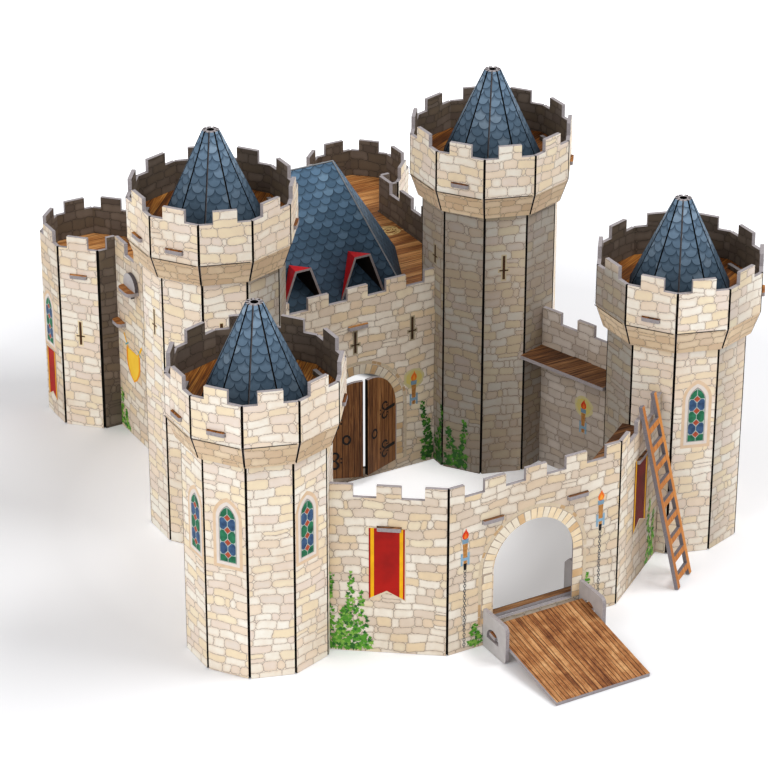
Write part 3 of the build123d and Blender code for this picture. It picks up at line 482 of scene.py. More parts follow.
# Inks of the printed pictures: flat and slightly uneven, so that windows, banners and leaves read as print
ink_paints = {
    "window_stone": even_paint("#E2C6A6", "#D0AF8A", 6.0),
    "window_rim": even_paint("#E6DBD1", "#D2C6BE", 5.0),
    "window_shade": even_paint("#A39A94", "#8A827E", 4.0),
    "window_lead": even_paint("#B4C0B8", "#98A6A0", 2.0),
    "green_glass": even_paint("#2A7A55", "#0E4430", 4.0, 1.0),
    "blue_glass": even_paint("#3F5F85", "#1D3250", 4.0, 1.0),
    "red_glass": even_paint("#B65438", "#8E3A24", 3.0, 0.9),
    "slit_shadow": even_paint("#5A3A1C", "#2A170A", 3.0, 0.9),
    "slit_rim": even_paint("#F3E2BE", "#E0C69A", 3.0),
    "banner_red": even_paint("#AC0E02", "#7E0702", 14.0, 0.8),
    "banner_dark_red": even_paint("#6E1012", "#4A0A0C", 14.0, 0.8),
    "banner_yellow": even_paint("#F5B90A", "#D29404", 9.0, 0.8),
    "flame_red": even_paint("#E2401A", "#B82410", 4.0, 0.8),
    "flame_orange": even_paint("#EE7A26", "#DC5518", 3.0, 0.8),
    "flame_yellow": even_paint("#F6A434", "#EE8224", 3.0, 0.8),
    "torch_glow": even_paint("#D6CB96", "#CFC49A", 6.0, 0.9),
    "torch_glow_pale": even_paint("#DCCB70", "#D2C482", 6.0, 0.9),
    "torch_band": even_paint("#7E9CB0", "#5E7C92", 2.0),
    "torch_handle": even_paint("#C28A4A", "#94602C", 2.5, 0.9),
    "torch_bracket": even_paint("#8FB2C8", "#6A8CA4", 2.0),
    "iron_black": even_paint("#0E0E0F", "#060607", 2.0),
    "chain_grey": even_paint("#4A525A", "#2A3036", 1.5),
    "ivy_green": even_paint("#56962E", "#3F7A22", 3.0),
    "ivy_light": even_paint("#86B44C", "#6A9C38", 3.0),
    "ivy_dark": even_paint("#31682A", "#224E1E", 3.0),
    "shield_yellow": even_paint("#F6C93E", "#EDB62C", 8.0),
    "shield_orange": even_paint("#EE9A12", "#DE8408", 6.0),
    "hilt_blue": even_paint("#5FA3A8", "#3F8288", 2.0),
    "rope_yellow": even_paint("#F6D692", "#DDB46C", 2.0, 0.9),
    "arch_pale": even_paint("#F0E6D2", "#E0D0B4", 5.0),
    "arch_cream": even_paint("#F3DFBC", "#E2C79C", 5.0),
    "arch_tan": even_paint("#DDBB8E", "#C9A272", 5.0),
    "arch_line": even_paint("#B5A492", "#A08E7C", 3.0),
    "arch_band": even_paint("#D6C6AC", "#C9B595", 4.0),
    "arch_brown": even_paint("#C9A87E", "#B48F66", 4.0),
    "arch_shade": even_paint("#D8C9AE", "#C7B594", 5.0),
}
# The slits take the full painted court shade, and the other inks a quarter of it
inks = {name: card(name + "_ink", paint, court=1.0 if "slit" in name else 0.25)
        for name, paint in ink_paints.items()}

# CAD sheets: each face gets the print or edge that the real sheet has there, or painted black shade in a fold

trees = {}
touch = 0.05 * mm
widest_fold = 4.6 * mm
board_slack = 0.16 * mm
groove_span = 3 * mm


def sheet_tree(name):
    """Search tree of a CAD node's faces."""
    if name not in trees:
        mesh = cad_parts[name].data
        corners = [vertex.co for vertex in mesh.vertices]
        trees[name] = BVHTree.FromPolygons(corners, [face.vertices for face in mesh.polygons])
    return trees[name]


def finish_sheet(name, choose=None, thickness=board, level=None, edge=cut_edge):
    """Finish each face of a sheet: its level faces in one print, or its flat sides by choose(centre, normal)."""
    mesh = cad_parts[name].data
    tree = sheet_tree(name)
    chosen = []
    for face in mesh.polygons:
        centre, normal = face.center, face.normal
        through = tree.ray_cast(centre - normal * touch, -normal)[0]
        ahead = tree.ray_cast(centre + normal * touch, normal, widest_fold)[0]
        depth = None if through is None else (through - centre).length
        if level and abs(normal.z) > 0.9:
            finish = level
        elif not level and depth is not None and abs(depth - thickness * mm) < board_slack:
            finish = choose(centre, normal)
        elif ahead is not None:
            finish = painted_fold_shade
        else:
            finish = edge
        chosen.append(finish)
    # A wall of a groove gets the painted black shade over its whole length, also where its far side is not met
    upright = [i for i, face in enumerate(mesh.polygons) if abs(face.normal.z) < 0.1]
    folds = [mesh.polygons[i] for i in upright if chosen[i] is painted_fold_shade]
    for i in upright:
        face = mesh.polygons[i]
        if chosen[i] is not cut_edge:
            continue
        for fold in folds:
            apart = face.center - fold.center
            if (fold.normal.dot(face.normal) > 0.999 and abs(apart.dot(fold.normal)) < touch
                    and hypot(apart.x, apart.y) < groove_span):
                chosen[i] = painted_fold_shade
                break
    finishes = list(dict.fromkeys(chosen))
    mesh.materials.clear()
    for finish in finishes:
        mesh.materials.append(finish)
    for face, finish in zip(mesh.polygons, chosen):
        face.material_index = finishes.index(finish)


def outward(normal, centre, middle):
    """Whether a face looks away from a middle point of the plan."""
    return normal.dot(centre - spot(*middle, centre.z / mm)) > 0


def tower_print(middle, centre, normal):
    """Print of a tower's body and crown: the sloping flaps are tan."""
    if not outward(normal, centre, middle):
        return inner_stone
    return outer_stone if normal.z > -0.2 else flap_stone


def cone_print(middle, centre, normal):
    return grey_slate if outward(normal, centre, middle) else black_back


def curtain_print(centre, normal):
    return gate_stone if outward(normal, centre, court_middle) else curtain_stone


def keep_print(centre, normal):
    """Print of the keep's side and rear walls, whose outside turns about the bastions."""
    middle = keep_middle
    for place in bastions.values():
        straight = abs(normal.x) > 0.98 and abs(abs(centre.x) - abs(place[0]) * mm) < 3 * mm
        if (centre - spot(*place, centre.z / mm)).length < 46.5 * mm and not straight:
            middle = place
    if not outward(normal, centre, middle):
        return inner_stone
    # The bastions' faces that look south get the shaded print, as painted shade
    if middle is not keep_middle and normal.y < -0.9:
        return inner_stone
    # Faces that look south get the pale print, and the others its darker copy as painted shade
    return outer_stone if normal.y < -0.5 else keep_stone


def front_print(centre, normal):
    """Print of the keep's front wall, whose turned leaves are the door."""
    if abs(normal.x) > 0.2:
        return door_wood
    return keep_stone if normal.y < 0 else inner_stone


def dormer_print(middle_x, centre, normal):
    """Print of a dormer: the cut front, and red on the sides that look up and away."""
    if normal.y < -0.9:
        return cut_edge
    side = 1 if centre.x > middle_x else -1
    return red_coat if normal.z > 0.01 or normal.x * side > 0.01 else black_back


for name, middle in towers.items():
    finish_sheet("tower_body_" + name, partial(tower_print, middle))
    finish_sheet("crown_" + name, partial(tower_print, middle))
    finish_sheet("cone_roof_" + name, partial(cone_print, middle))
    finish_sheet("crown_floor_" + name, level=crown_wood[name.split("_")[1]])
for name in ("gate_wall", "west_wall", "east_wall"):
    finish_sheet(name, curtain_print)
for name in ("keep_west_wall", "keep_east_wall", "keep_rear_wall"):
    finish_sheet(name, keep_print)
finish_sheet("keep_front_wall", front_print)
finish_sheet("keep_roof", lambda centre, normal: slate if normal.z > 0 else black_back, roof_board)
for name in ("dormer_left", "dormer_right"):
    middle_x = sum(corner.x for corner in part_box(name)) / 2
    finish_sheet(name, partial(dormer_print, middle_x), dormer_board)
for name in ("keep_deck", "keep_room_floor"):
    finish_sheet(name, level=deck_wood)
for name in ("gate_walkway", "west_walkway", "east_walkway", "threshold_plank"):
    finish_sheet(name, level=walk_wood)
for name in ("gate_bracket_left", "gate_bracket_right"):
    finish_sheet(name, lambda centre, normal: grey_back)
for name in ("deck_key_west", "deck_key_east"):
    finish_sheet(name, lambda centre, normal: grey_back, edge=key_edge)
finish_sheet("ladder", lambda centre, normal: ladder_wood, edge=ladder_edge)
finish_sheet("drawbridge", lambda centre, normal: bridge_wood)


def shade_eaves(name, low, high):
    """Mark how near a roof's corners are to its eaves, for the painted shade that darkens the slates there."""
    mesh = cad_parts[name].data
    mark = mesh.attributes.new("eaves", "FLOAT", "POINT")
    for i, vertex in enumerate(mesh.vertices):
        mark.data[i].value = max(0.0, min(1.0, (high - vertex.co.z / mm) / (high - low)))


# Painted shade, dark from the foot up, over the cones' height, and over a little more than the keep roof's
for name, below, above in [("cone_roof_" + name, 0, 68) for name in towers] + [("keep_roof", 12, 84)]:
    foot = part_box(name)[0].z / mm
    shade_eaves(name, foot - below, foot + above)


# Printed pictures, drawn as flat outlines in millimetres and laid on the sheets


def clear_selection():
    bpy.ops.object.select_all(action="DESELECT")


def cutout(name, outlines, ink, lift):
    """Flat print from closed outlines: a filled curve made a mesh, a little above the paper."""
    curve = bpy.data.curves.new(name, "CURVE")
    curve.dimensions = "2D"
    curve.fill_mode = "FRONT"
    for points in outlines:
        spline = curve.splines.new("POLY")
        spline.points.add(len(points) - 1)
        for i, (x, y) in enumerate(points):
            spline.points[i].co = (x * mm, y * mm, 0, 1)
        spline.use_cyclic_u = True
    flat = bpy.data.objects.new(name, curve)
    bpy.context.scene.collection.objects.link(flat)
    clear_selection()
    flat.select_set(True)
    bpy.context.view_layer.objects.active = flat
    bpy.ops.object.convert(target="MESH")
    flat = bpy.context.object
    flat.data.materials.clear()
    flat.data.materials.append(inks[ink])
    flat.data.transform(Matrix.Translation((0, 0, lift * mm)))
    return flat


def gather(name, layers, place):
    """Join the layers of one picture and lay it on its sheet."""
    clear_selection()
    for layer in layers:
        layer.select_set(True)
    bpy.context.view_layer.objects.active = layers[0]
    bpy.ops.object.join()
    picture = bpy.context.object
    picture.name = name
    picture.data.name = name
    picture.data.transform(place)
    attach(picture, "castle")


def stand(right, rise, out, at):
    """Place with those three directions, at a point in metres."""
    place = Matrix((right, rise, out)).transposed().to_4x4()
    place.translation = at
    return place


def on_sheet(name, x, y, turn, z=60.0):
    """Place on a sheet's face: across to the right as seen from outside, up, and out of the face."""
    out = away(turn)
    at, normal = sheet_tree(name).ray_cast(spot(x, y, z) + out * 12 * mm, -out)[:2]
    right = up.cross(normal).normalized()
    return stand(right, normal.cross(right), normal, Vector((at.x, at.y, 0)))


def beside(name, x, y, turn, face, across, z):
    """Place on the face of a tower or bastion, across from the middle of that face."""
    out = away(turn)
    at = Vector((x, y, 0)) + out * face + up.cross(out) * across
    return on_sheet(name, at.x, at.y, turn, z)


def tower_spot(name, turn, across, z=60.0):
    return beside("tower_body_" + name, *towers[name], turn, tower_face, across, z)


def arc(x, y, radius, start, end, count, squash=1.0):
    """Points on an arc, by degrees."""
    turns = [radians(start + (end - start) * i / count) for i in range(count + 1)]
    return [(x + radius * cos(turn), y + radius * squash * sin(turn)) for turn in turns]


def block(left, low, right, high):
    """Corners of an upright rectangle."""
    return [(left, low), (right, low), (right, high), (left, high)]


def mirrored(side, points):
    """Points as they are, or with -1 on the other side of the middle."""
    return [(side * x, z) for x, z in points]


def pointed(half, low, spring, top):
    """Outline of a pointed window: straight sides to the spring, then two arcs to the point."""
    rise = top - spring
    radius = (half * half + rise * rise) / (2 * half)
    turn = degrees(atan2(rise, radius - half))
    right = arc(half - radius, spring, radius, 0, turn, 8)
    return [(-half, low), (half, low)] + right + mirrored(-1, right[::-1])[1:]


def window(name, place, low, high):
    """Lead window in a stone frame: two columns of cells with a row of diamonds between them."""
    k = (high - low) / 53.4  # the sizes below are those of a window 53.4 mm high
    spring = high - 15.5 * k
    foot, tip = low + 5.0 * k, high - 6.6 * k
    glass_spring = tip - 10.6 * k
    layers = [
        cutout("frame", [pointed(10.7 * k, low, spring, high)], "window_stone", 0.04),
        cutout("rim", [pointed(8.5 * k, low + 2.4 * k, spring, high - 3.0 * k)], "window_rim", 0.07),
        cutout("shade", [pointed(6.4 * k, foot - 0.3, glass_spring, tip + 0.9 * k)], "window_shade", 0.1),
        cutout("lead", [pointed(5.9 * k, foot, glass_spring, tip)], "window_lead", 0.13),
    ]
    step, half, lead = 9.3 * k, 5.65 * k, 0.22
    rows = [tip - 8.4 * k - step * i for i in range(4)]
    green, blue = [], []
    for side in (-1, 1):
        green.append(mirrored(side, [
            (lead, tip - 0.7 * k), (lead, rows[0] + 3.0 * k), (2.7 * k, rows[0] + lead),
            (half * 0.98, rows[0] + lead), (half * 0.8, rows[0] + 3.6 * k), (half * 0.46, rows[0] + 6.2 * k)]))
        green.append(mirrored(side, [
            (lead, rows[3] - 3.0 * k), (2.7 * k, rows[3] - lead), (half, rows[3] - lead), (half, foot + 0.25),
            (lead, foot + 0.25)]))
        for i in range(3):
            z1, z0 = rows[i] - lead, rows[i + 1] + lead
            (green if i == 1 else blue).append(mirrored(side, [
                (lead, z0 + 3.0 * k), (2.7 * k, z0), (4.6 * k, z0), (half, z0 + 1.6 * k), (half, z1 - 1.6 * k),
                (4.6 * k, z1), (2.7 * k, z1), (lead, z1 - 3.0 * k)]))
    red = [[(0, z - 2.5 * k), (2.4 * k, z), (0, z + 2.5 * k), (-2.4 * k, z)] for z in rows]
    layers += [cutout("green", green, "green_glass", 0.16), cutout("blue", blue, "blue_glass", 0.16),
               cutout("red", red, "red_glass", 0.19)]
    gather(name, layers, place)


def cross(half, arm, low, bar_low, bar_high, high):
    """Outline of a slit with a cross bar."""
    right = [(half, low), (half, bar_low), (arm, bar_low), (arm, bar_high), (half, bar_high), (half, high)]
    return right + mirrored(-1, right[::-1])


def slit(name, place, low, high):
    """Arrow slit with a short cross bar and a pale rim."""
    bar = low + (high - low) * 0.38
    rim = cross(2.0, 4.3, low - 1.2, bar - 1.6, bar + 1.5, high + 1)
    gather(name, [cutout("rim", [rim], "slit_rim", 0.05),
                  cutout("slit", [cross(1.0, 3.3, low, bar - 0.55, bar + 0.55, high)], "slit_shadow", 0.1)], place)


def banner(name, place, left, right, top, foot, notch, red="banner_red"):
    """Hanging banner with two stripes inset from its sides and a notch in the foot."""
    width = right - left
    middle = (left + right) / 2
    cloth = [(left, top), (left, foot), (middle, notch), (right, foot), (right, top)]

    def hem(x):
        return foot + (notch - foot) * (1 - abs(x - middle) / (width / 2))

    def stripe(a, b):
        return [(a, top), (a, hem(a)), (b, hem(b)), (b, top)]

    inset, broad = width * 0.05, width * 0.095
    stripes = [stripe(left + inset, left + inset + broad), stripe(right - inset - broad, right - inset)]
    # A painted shadow of the cloth, offset down and to the right
    soft = [(x + 0.9, z - 1.2) for x, z in cloth]
    gather(name, [cutout("shade", [soft], "arch_shade", 0.04), cutout("cloth", [cloth], red, 0.08),
                  cutout("stripes", stripes, "banner_yellow", 0.12)], place)


def torch(name, place, x, low, glow=False, chain=None, flames=("flame_orange", "flame_yellow")):
    """Torch in a wall bracket: flame, band, tapered handle, an H-shaped holder and a chain down to a height."""
    layers = []
    if glow:
        random.seed(name)
        for radius, ink, lift in ((8.8, "torch_glow", 0.05), (6.6, "torch_glow_pale", 0.07)):
            ragged = [(x + (radius + random.uniform(-0.7, 0.7)) * cos(i * pi / 12),
                       low + 22 + (radius * 0.95 + random.uniform(-0.6, 0.6)) * sin(i * pi / 12)) for i in range(24)]
            layers.append(cutout("glow", [ragged], ink, lift))
    flame = [(0.0, 19.6), (1.9, 20.5), (2.6, 22.4), (2.2, 24.4), (1.1, 26.0), (0.5, 28.0), (-0.2, 26.4), (-1.4, 25.0),
             (-2.4, 23.0), (-2.2, 21.0), (-1.1, 19.8)]
    heart = [(0.2, 20.1), (1.2, 21.0), (1.3, 22.8), (0.3, 24.6), (-0.8, 23.0), (-1.1, 21.2), (-0.5, 20.3)]
    holder = [(-3.4, 0), (-1.9, 0), (-1.9, 3.6), (1.9, 3.6), (1.9, 0), (3.4, 0), (3.4, 9.4), (1.9, 9.4), (1.9, 5.8),
              (-1.9, 5.8), (-1.9, 9.4), (-3.4, 9.4)]
    parts = [
        (flame, flames[0], 0.1), (heart, flames[1], 0.13),
        ([(-2.3, 16.6), (2.3, 16.6), (2.6, 19.9), (-2.6, 19.9)], "torch_band", 0.1),
        ([(-1.1, 0.6), (1.1, 0.6), (2.0, 16.4), (-2.0, 16.4)], "torch_handle", 0.1),
        (holder, "torch_bracket", 0.14),
    ]
    if chain is not None:
        parts.append(([(-1.0, -3.4), (1.0, -3.4), (1.3, 1.4), (-1.3, 1.4)], "iron_black", 0.16))
    layers += [cutout(ink, [[(x + px, low + pz) for px, pz in points]], ink, lift) for points, ink, lift in parts]
    if chain is not None:
        # Links seen from the front and from the side by turns
        top, pitch = low - 3.2, 1.9
        rings, bars = [], []
        for i in range(int((top - chain) / pitch)):
            z = top - 1.3 - i * pitch
            if i % 2 == 0:
                rings += [arc(x, z, 1.15, 0, 345, 12, 1.25), arc(x, z, 0.62, 0, 345, 12, 1.4)]
            else:
                bars.append(block(x - 0.3, z - 0.9, x + 0.3, z + 0.9))
        layers += [cutout("rings", rings, "chain_grey", 0.1), cutout("bars", bars, "chain_grey", 0.12)]
    gather(name, layers, place)


def archway(name, place, low, outer):
    """Printed ring of arch stones over two columns of jamb stones, in a soft band like a drip mould."""
    random.seed(name)
    tones = ["arch_pale", "arch_cream", "arch_pale", "arch_cream", "arch_tan"]
    stones = {tone: [] for tone in dict.fromkeys(tones)}
    count = 23
    for i in range(count):
        a, b = 180.0 * i / count + 0.22, 180.0 * (i + 1) / count - 0.22
        far = outer + random.uniform(-0.5, 0.3)
        stone = arc(0, arch_spring, far, a + 0.5, b - 0.5, 3) + arc(0, arch_spring, arch_half, b, a, 3)
        stones[random.choice(tones)].append(stone)
    for side in (-1, 1):
        z = low
        while z < arch_spring - 2:
            height = min(random.uniform(4.2, 6.2), arch_spring - z)
            far = outer + random.uniform(-1.6, 0.3)
            foot, head = z + 0.16, z + height - 0.16
            stone = [(arch_half, foot), (far - 0.8, foot), (far, z + 1.0), (far, z + height - 1.0), (far - 0.8, head),
                     (arch_half, head)]
            stones[random.choice(tones)].append(mirrored(side, stone))
            z += height
    joints = [(arch_half, low), (outer + 0.3, low)] + arc(0, arch_spring, outer + 0.3, 0, 180, 32)
    joints += [(-outer - 0.3, low), (-arch_half, low)] + arc(0, arch_spring, arch_half, 180, 0, 32)
    near, far, count = outer + 0.7, outer + 2.9, 30
    band, brown = [], []
    for i in range(count):
        a, b = 180.0 * i / count + 0.2, 180.0 * (i + 1) / count - 0.2
        stone = arc(0, arch_spring, far, a, b, 2) + arc(0, arch_spring, near, b, a, 2)
        (brown if random.random() < 0.2 else band).append(stone)
    for side in (-1, 1):
        z = low
        while z < arch_spring - 3:
            height = min(random.uniform(6.0, 10.0), arch_spring - z)
            stone = mirrored(side, block(near, z + 0.15, far, z + height - 0.15))
            (brown if random.random() < 0.2 else band).append(stone)
            z += height
    layers = [cutout("joints", [joints], "arch_line", 0.05), cutout("band", band, "arch_band", 0.05),
              cutout("brown", brown, "arch_brown", 0.05)]
    layers += [cutout("stones", outlines, ink, 0.09) for ink, outlines in stones.items() if outlines]
    gather(name, layers, place)


# Five-lobed ivy leaf, 1 mm long, with its stem at the origin
half_leaf = [(0.0, 0.0), (0.12, 0.1), (0.42, -0.06), (0.3, 0.22), (0.55, 0.42), (0.26, 0.5), (0.16, 0.72), (0.0, 1.0)]
leaf_prints = {ink: cutout("leaf", [half_leaf + mirrored(-1, half_leaf[-2:0:-1])], ink, 0.0)
               for ink in ("ivy_green", "ivy_light", "ivy_dark")}


def ivy(name, place, strands, painted_shade_leaves=False):
    """Ivy climbing in strands: each is foot, tip, half-width at the foot, number of leaves."""
    random.seed(name)
    leaves = []
    # Ivy in the court is in painted shade, with darker leaves
    tones = ["ivy_dark", "ivy_green", "ivy_dark"] if painted_shade_leaves else ["ivy_green", "ivy_light", "ivy_green", "ivy_dark"]
    for (x0, z0), (x1, z1), half, count in strands:
        for i in range(count):
            t = (i + random.random()) / count
            spread = half * (1 - t) ** 0.8 + 0.9
            x = x0 + (x1 - x0) * t + random.uniform(-spread, spread) + 1.2 * sin(t * 9 + x0)
            size = random.uniform(2.8, 4.6) * (1 - 0.35 * t)
            z = max(size, z0 + (z1 - z0) * t + random.uniform(-1, 1))
            lift = 0.16 + 0.002 * (i % 40)  # each leaf over the one before, so that none flickers
            leaf = leaf_prints[random.choice(tones)]
            copy = leaf.copy()
            copy.data = leaf.data.copy()
            bpy.context.scene.collection.objects.link(copy)
            spin = Matrix.Rotation(random.uniform(0, 2 * pi), 4, "Z") @ Matrix.Scale(size, 4)
            copy.data.transform(Matrix.Translation(Vector((x, z, lift)) * mm) @ spin)
            leaves.append(copy)
    gather(name, leaves, place)


def shield(name, place, low, high, half):
    """Plain heater shield with a lighter field, before two crossed swords."""
    def outline(k):
        top, middle, tip = high - (1 - k) * 2, (low + high) / 2, low + (1 - k) * 6
        shoulder = low + 4 + (1 - k) * 4
        right = [(half * k, top), (half * k, middle + 2), (half * k * 0.86, middle - 3), (half * k * 0.5, shoulder)]
        return right + [(0, tip)] + mirrored(-1, right[::-1])

    hilts, guards = [], []
    for side in (-1, 1):
        foot, tip = Vector((side * half * 0.72, high - 0.5)), Vector((side * (half + 3.6), high + 9.5))
        along = (tip - foot).normalized()
        square = Vector((-along.y, along.x))
        at = foot + (tip - foot) * 0.25
        hilts.append([foot + square, tip + square, tip - square, foot - square])
        guards.append([at + square * 3.4, at + square * 3.2 + along * 1.2, at - square * 3.2 + along * 1.2,
                       at - square * 3.4])
    gather(name, [
        cutout("hilts", hilts, "banner_yellow", 0.05), cutout("guards", guards, "hilt_blue", 0.08),
        cutout("rim", [outline(1.0)], "shield_orange", 0.11), cutout("field", [outline(0.78)], "shield_yellow", 0.14),
    ], place)


# Windows and slits on the towers: face, millimetres across from its middle, foot and head
for name, tower, turn, across, low, high in (
        ("front_left_west", "front_left", 180, 4.0, 81.5, 134.0),
        ("front_left_south", "front_left", -144, 2.5, 81.3, 134.0),
        ("front_left_gate", "front_left", -72, -2.6, 81.3, 134.0),
        ("front_right_gate", "front_right", -108, 2.8, 83.8, 136.6),
        ("front_right_south", "front_right", -36, -2.5, 81.3, 134.0),
        ("front_right_east", "front_right", 0, -4.0, 81.5, 134.0)):
    window("window_" + name, tower_spot(tower, turn, across), low, high)
for name, tower, turn, across, low, high in (
        ("keep_left_west", "keep_left", 180, 2.3, 158.0, 177.4),
        ("keep_left_front", "keep_left", -72, -0.2, 158.0, 176.5),
        ("keep_right_court", "keep_right", 180, 3.6, 161.6, 175.8),
        ("keep_right_front", "keep_right", -108, 0.2, 158.0, 176.5),
        ("keep_right_east", "keep_right", 0, -2.3, 158.0, 177.4)):
    slit("slit_" + name, tower_spot(tower, turn, across, 150), low, high)

# Bastions and the keep's side walls, west and east alike
for name, (x, y) in bastions.items():
    side, turn, diagonal = (-1, 180, -135) if name == "west" else (1, 0, -45)
    sheet = "keep_" + name + "_wall"
    place = on_sheet(sheet, x + side * bastion_face, y + 4.6, turn, 104)
    window("window_bastion_" + name, place, 56.0, 104.0)
    banner("banner_bastion_" + name, place, -7.6, 7.6, 54.5, 13.5, 18.5)
    slit("slit_bastion_" + name, beside(sheet, x, y, diagonal, bastion_face, -0.6 * side, 104), 69.0, 88.0)
    shield("shield_" + name, on_sheet(sheet, side * keep_side_x, 300.5, turn, 100), 46.7, 72.6, 11.6)
    # A black mark where the wall has a small slot, painted as the shade inside it
    gather("slot_shade_mark_" + name, [cutout("mark", [block(-0.45, 146, 0.45, 151)], "iron_black", 0.08)],
           on_sheet(sheet, side * keep_side_x, 274.5, turn, 100))

front = on_sheet("keep_front_wall", 0, keep_front_y, -90, 110)
for i, (x, low, high) in enumerate(((-46.5, 104.5, 122.4), (-1.0, 104.8, 121.7), (46.5, 104.5, 122.4))):
    slit("slit_keep_front_%d" % i, front @ Matrix.Translation((x * mm, 0, 0)), low, high)
archway("arch_keep_door", front, door_sill, 39.2)
torch("torch_keep_front", front, 48.0, 50.2, glow=True)

# Black line painted as the shade in the crease along the foot of each crown wall, where its flaps fold in
for name, (x, y) in towers.items():
    lines = []
    for i in range(10):
        out = away(36 * i)
        line = cutout("crease", [block(-17.6, -0.3, 17.6, 0.3)], "iron_black", 0.05)
        line.data.transform(stand(up.cross(out), up, out, spot(x, y, crease_z[name]) + out * crown_face * mm))
        lines.append(line)
    gather("crown_crease_" + name, lines, Matrix.Identity(4))

# Gate wall and its wings
gate = on_sheet("gate_wall", 0, gate_y, -90, 105)
archway("arch_gate", gate, gate_sill, 39.8)
torch("torch_gate_left", gate, -53.3, 66.6, chain=0.8, flames=("flame_red", "flame_orange"))
torch("torch_gate_right", gate, 53.3, 66.6, chain=12.0)


def wing_spot(side, from_tower):
    """Place on a wing of the gate wall, that many millimetres from the tower."""
    run = away(-90 - 54 * side)
    at = Vector((side * wing_fold_x, gate_y, 0)) - run * (wing_run - from_tower)
    return on_sheet("gate_wall", at.x, at.y, -90 + 36 * side, 100)


left_wing, right_wing = wing_spot(-1, 40.0), wing_spot(1, 40.0)
banner("banner_left_wing", left_wing, -12.8, 11.2, 95.6, 41.6, 48.1)
banner("banner_right_wing", right_wing, -9.5, 16.1, 97.0, 40.0, 46.6, "banner_dark_red")

ivy("ivy_left_wing", left_wing, [
    ((-38, 0), (-38.5, 59), 2.0, 57), ((-30, 0), (-23.8, 60), 4.5, 70), ((-21, 0), (-16.8, 46), 4.5, 62),
    ((-27, 0), (-27, 34), 10.5, 125), ((-16, 0), (-14, 14), 4.0, 30)])
ivy("ivy_gate_left", gate, [((-46, 0), (-44, 19), 3.6, 30), ((-41, 0), (-42, 12), 2.2, 10)])
ivy("ivy_gate_right", gate, [((44, 12), (44, 32), 1.6, 18)])
ivy("ivy_right_wing", right_wing, [((24, 0), (23.5, 51), 3.0, 62), ((30, 0), (32, 38), 4.0, 50)])
ivy("ivy_keep_front", front, [((60, 0), (56.5, 50), 3.0, 75), ((61, 0), (61.5, 36), 2.0, 42)], painted_shade_leaves=True)
ivy("ivy_keep_tower_court", tower_spot("keep_right", 180, 0), [
    ((12.5, 0), (14.5, 50), 1.6, 55), ((10, 0), (8, 24), 3.4, 32)], painted_shade_leaves=True)
ivy("ivy_keep_tower_front", tower_spot("keep_right", -144, 0), [
    ((-9, 0), (-8, 34), 3.4, 47), ((1, 0), (2.5, 42), 2.4, 55), ((-4, 0), (-4, 18), 5.0, 45)], painted_shade_leaves=True)
ivy("ivy_keep_west", on_sheet("keep_west_wall", -keep_side_x, 310, 180, 100), [
    ((-12, 0), (-13, 31), 2.6, 42), ((-6, 0), (-6, 17), 3.4, 32)])
for leaf in leaf_prints.values():
    bpy.data.objects.remove(leaf)

# Torch on the inner face of the east curtain wall
at = Vector(towers["keep_right"]).to_3d() + away(-72) * (tower_face + 41.5)
torch("torch_east_wall", on_sheet("east_wall", at.x, at.y, 198), 0.0, 38.0, glow=True,
      flames=("flame_red", "flame_orange"))


def strap(side, z):
    """Strap hinge from the hinge line, ending in two scrolls with small beads."""
    outlines = [[(0.5, z - 1.0), (9.5, z - 1.4), (13.5, z), (9.5, z + 1.4), (0.5, z + 1.6)]]
    for tip in (-1, 1):
        curl = arc(12.0, z + tip * 3.8, 3.5, -90 * tip, 190 * tip, 14)
        back = arc(12.0, z + tip * 3.8, 1.9, 190 * tip, -60 * tip, 14)
        outlines.append(curl + back)
        outlines.append(arc(9.2, z + tip * 3.4, 1.3, 0, 340, 8))
        outlines.append(arc(16.8, z + tip * 1.6, 0.8, 0, 340, 7))
    return [mirrored(side, points) for points in outlines]


# Door irons: a ring and two strap hinges on each leaf, from the hinge line inward
for side, name, ring_x in ((-1, "left", 20.8), (1, "right", 23.5)):
    inward = 15.0  # from the hinge line to where the face is sought
    middle_x = side * (arch_half - inward * cos(radians(leaf_open)))
    middle_y = keep_front_y - inward * sin(radians(leaf_open))
    place = on_sheet("keep_front_wall", middle_x, middle_y, -90 + side * leaf_open, 40)
    ring = [arc(-side * ring_x, 39.7, 3.4, 0, 340, 17, 1.25), arc(-side * ring_x, 39.7, 1.9, 0, 340, 17, 1.35)]
    irons = [cutout("ring", ring, "iron_black", 0.1)]
    irons += [cutout("strap", strap(-side, z), "iron_black", 0.1) for z in (23.0, 55.0)]
    gather("door_irons_" + name, irons, place @ Matrix.Translation((side * inward * mm, 0, 0)))

# Coil of rope printed on the keep's deck
random.seed("rope")
turns = []
for i in range(5):
    x, y, radius = random.uniform(-3, 3), random.uniform(-3, 3), 9.0 - i * 1.1
    coil = [arc(x, y, radius, 0, 350, 30, 0.8), arc(x, y, radius - 1.1, 0, 350, 30, 0.8)]
    turns.append(cutout("turn", coil, "rope_yellow", 0.05 + 0.02 * i))
end = arc(10, 4, 8.5, -170, -20, 14) + arc(10, 4, 7.6, -20, -170, 14)
turns.append(cutout("end", [end], "rope_yellow", 0.05))
gather("rope_coil", turns, Matrix.Translation(spot(100, 292, deck_top)))

# Small square hole printed on the left tower beside the keep
gather("hole_mark_keep_left", [cutout("rim", [block(-3.4, 172.4, -0.2, 178.2)], "slit_rim", 0.05),
                               cutout("hole", [block(-2.9, 173.2, -0.7, 177.4)], "slit_shadow", 0.1)],
       tower_spot("keep_left", -108, 0, 150))

# Paper hinge along the ridge and hips of the keep's roof, where the slate print is worn to grey
hinge_paint = card("worn_paper_hinge", even_paint("#8F9296", "#6E7276", 3.0), roughness=0.7)


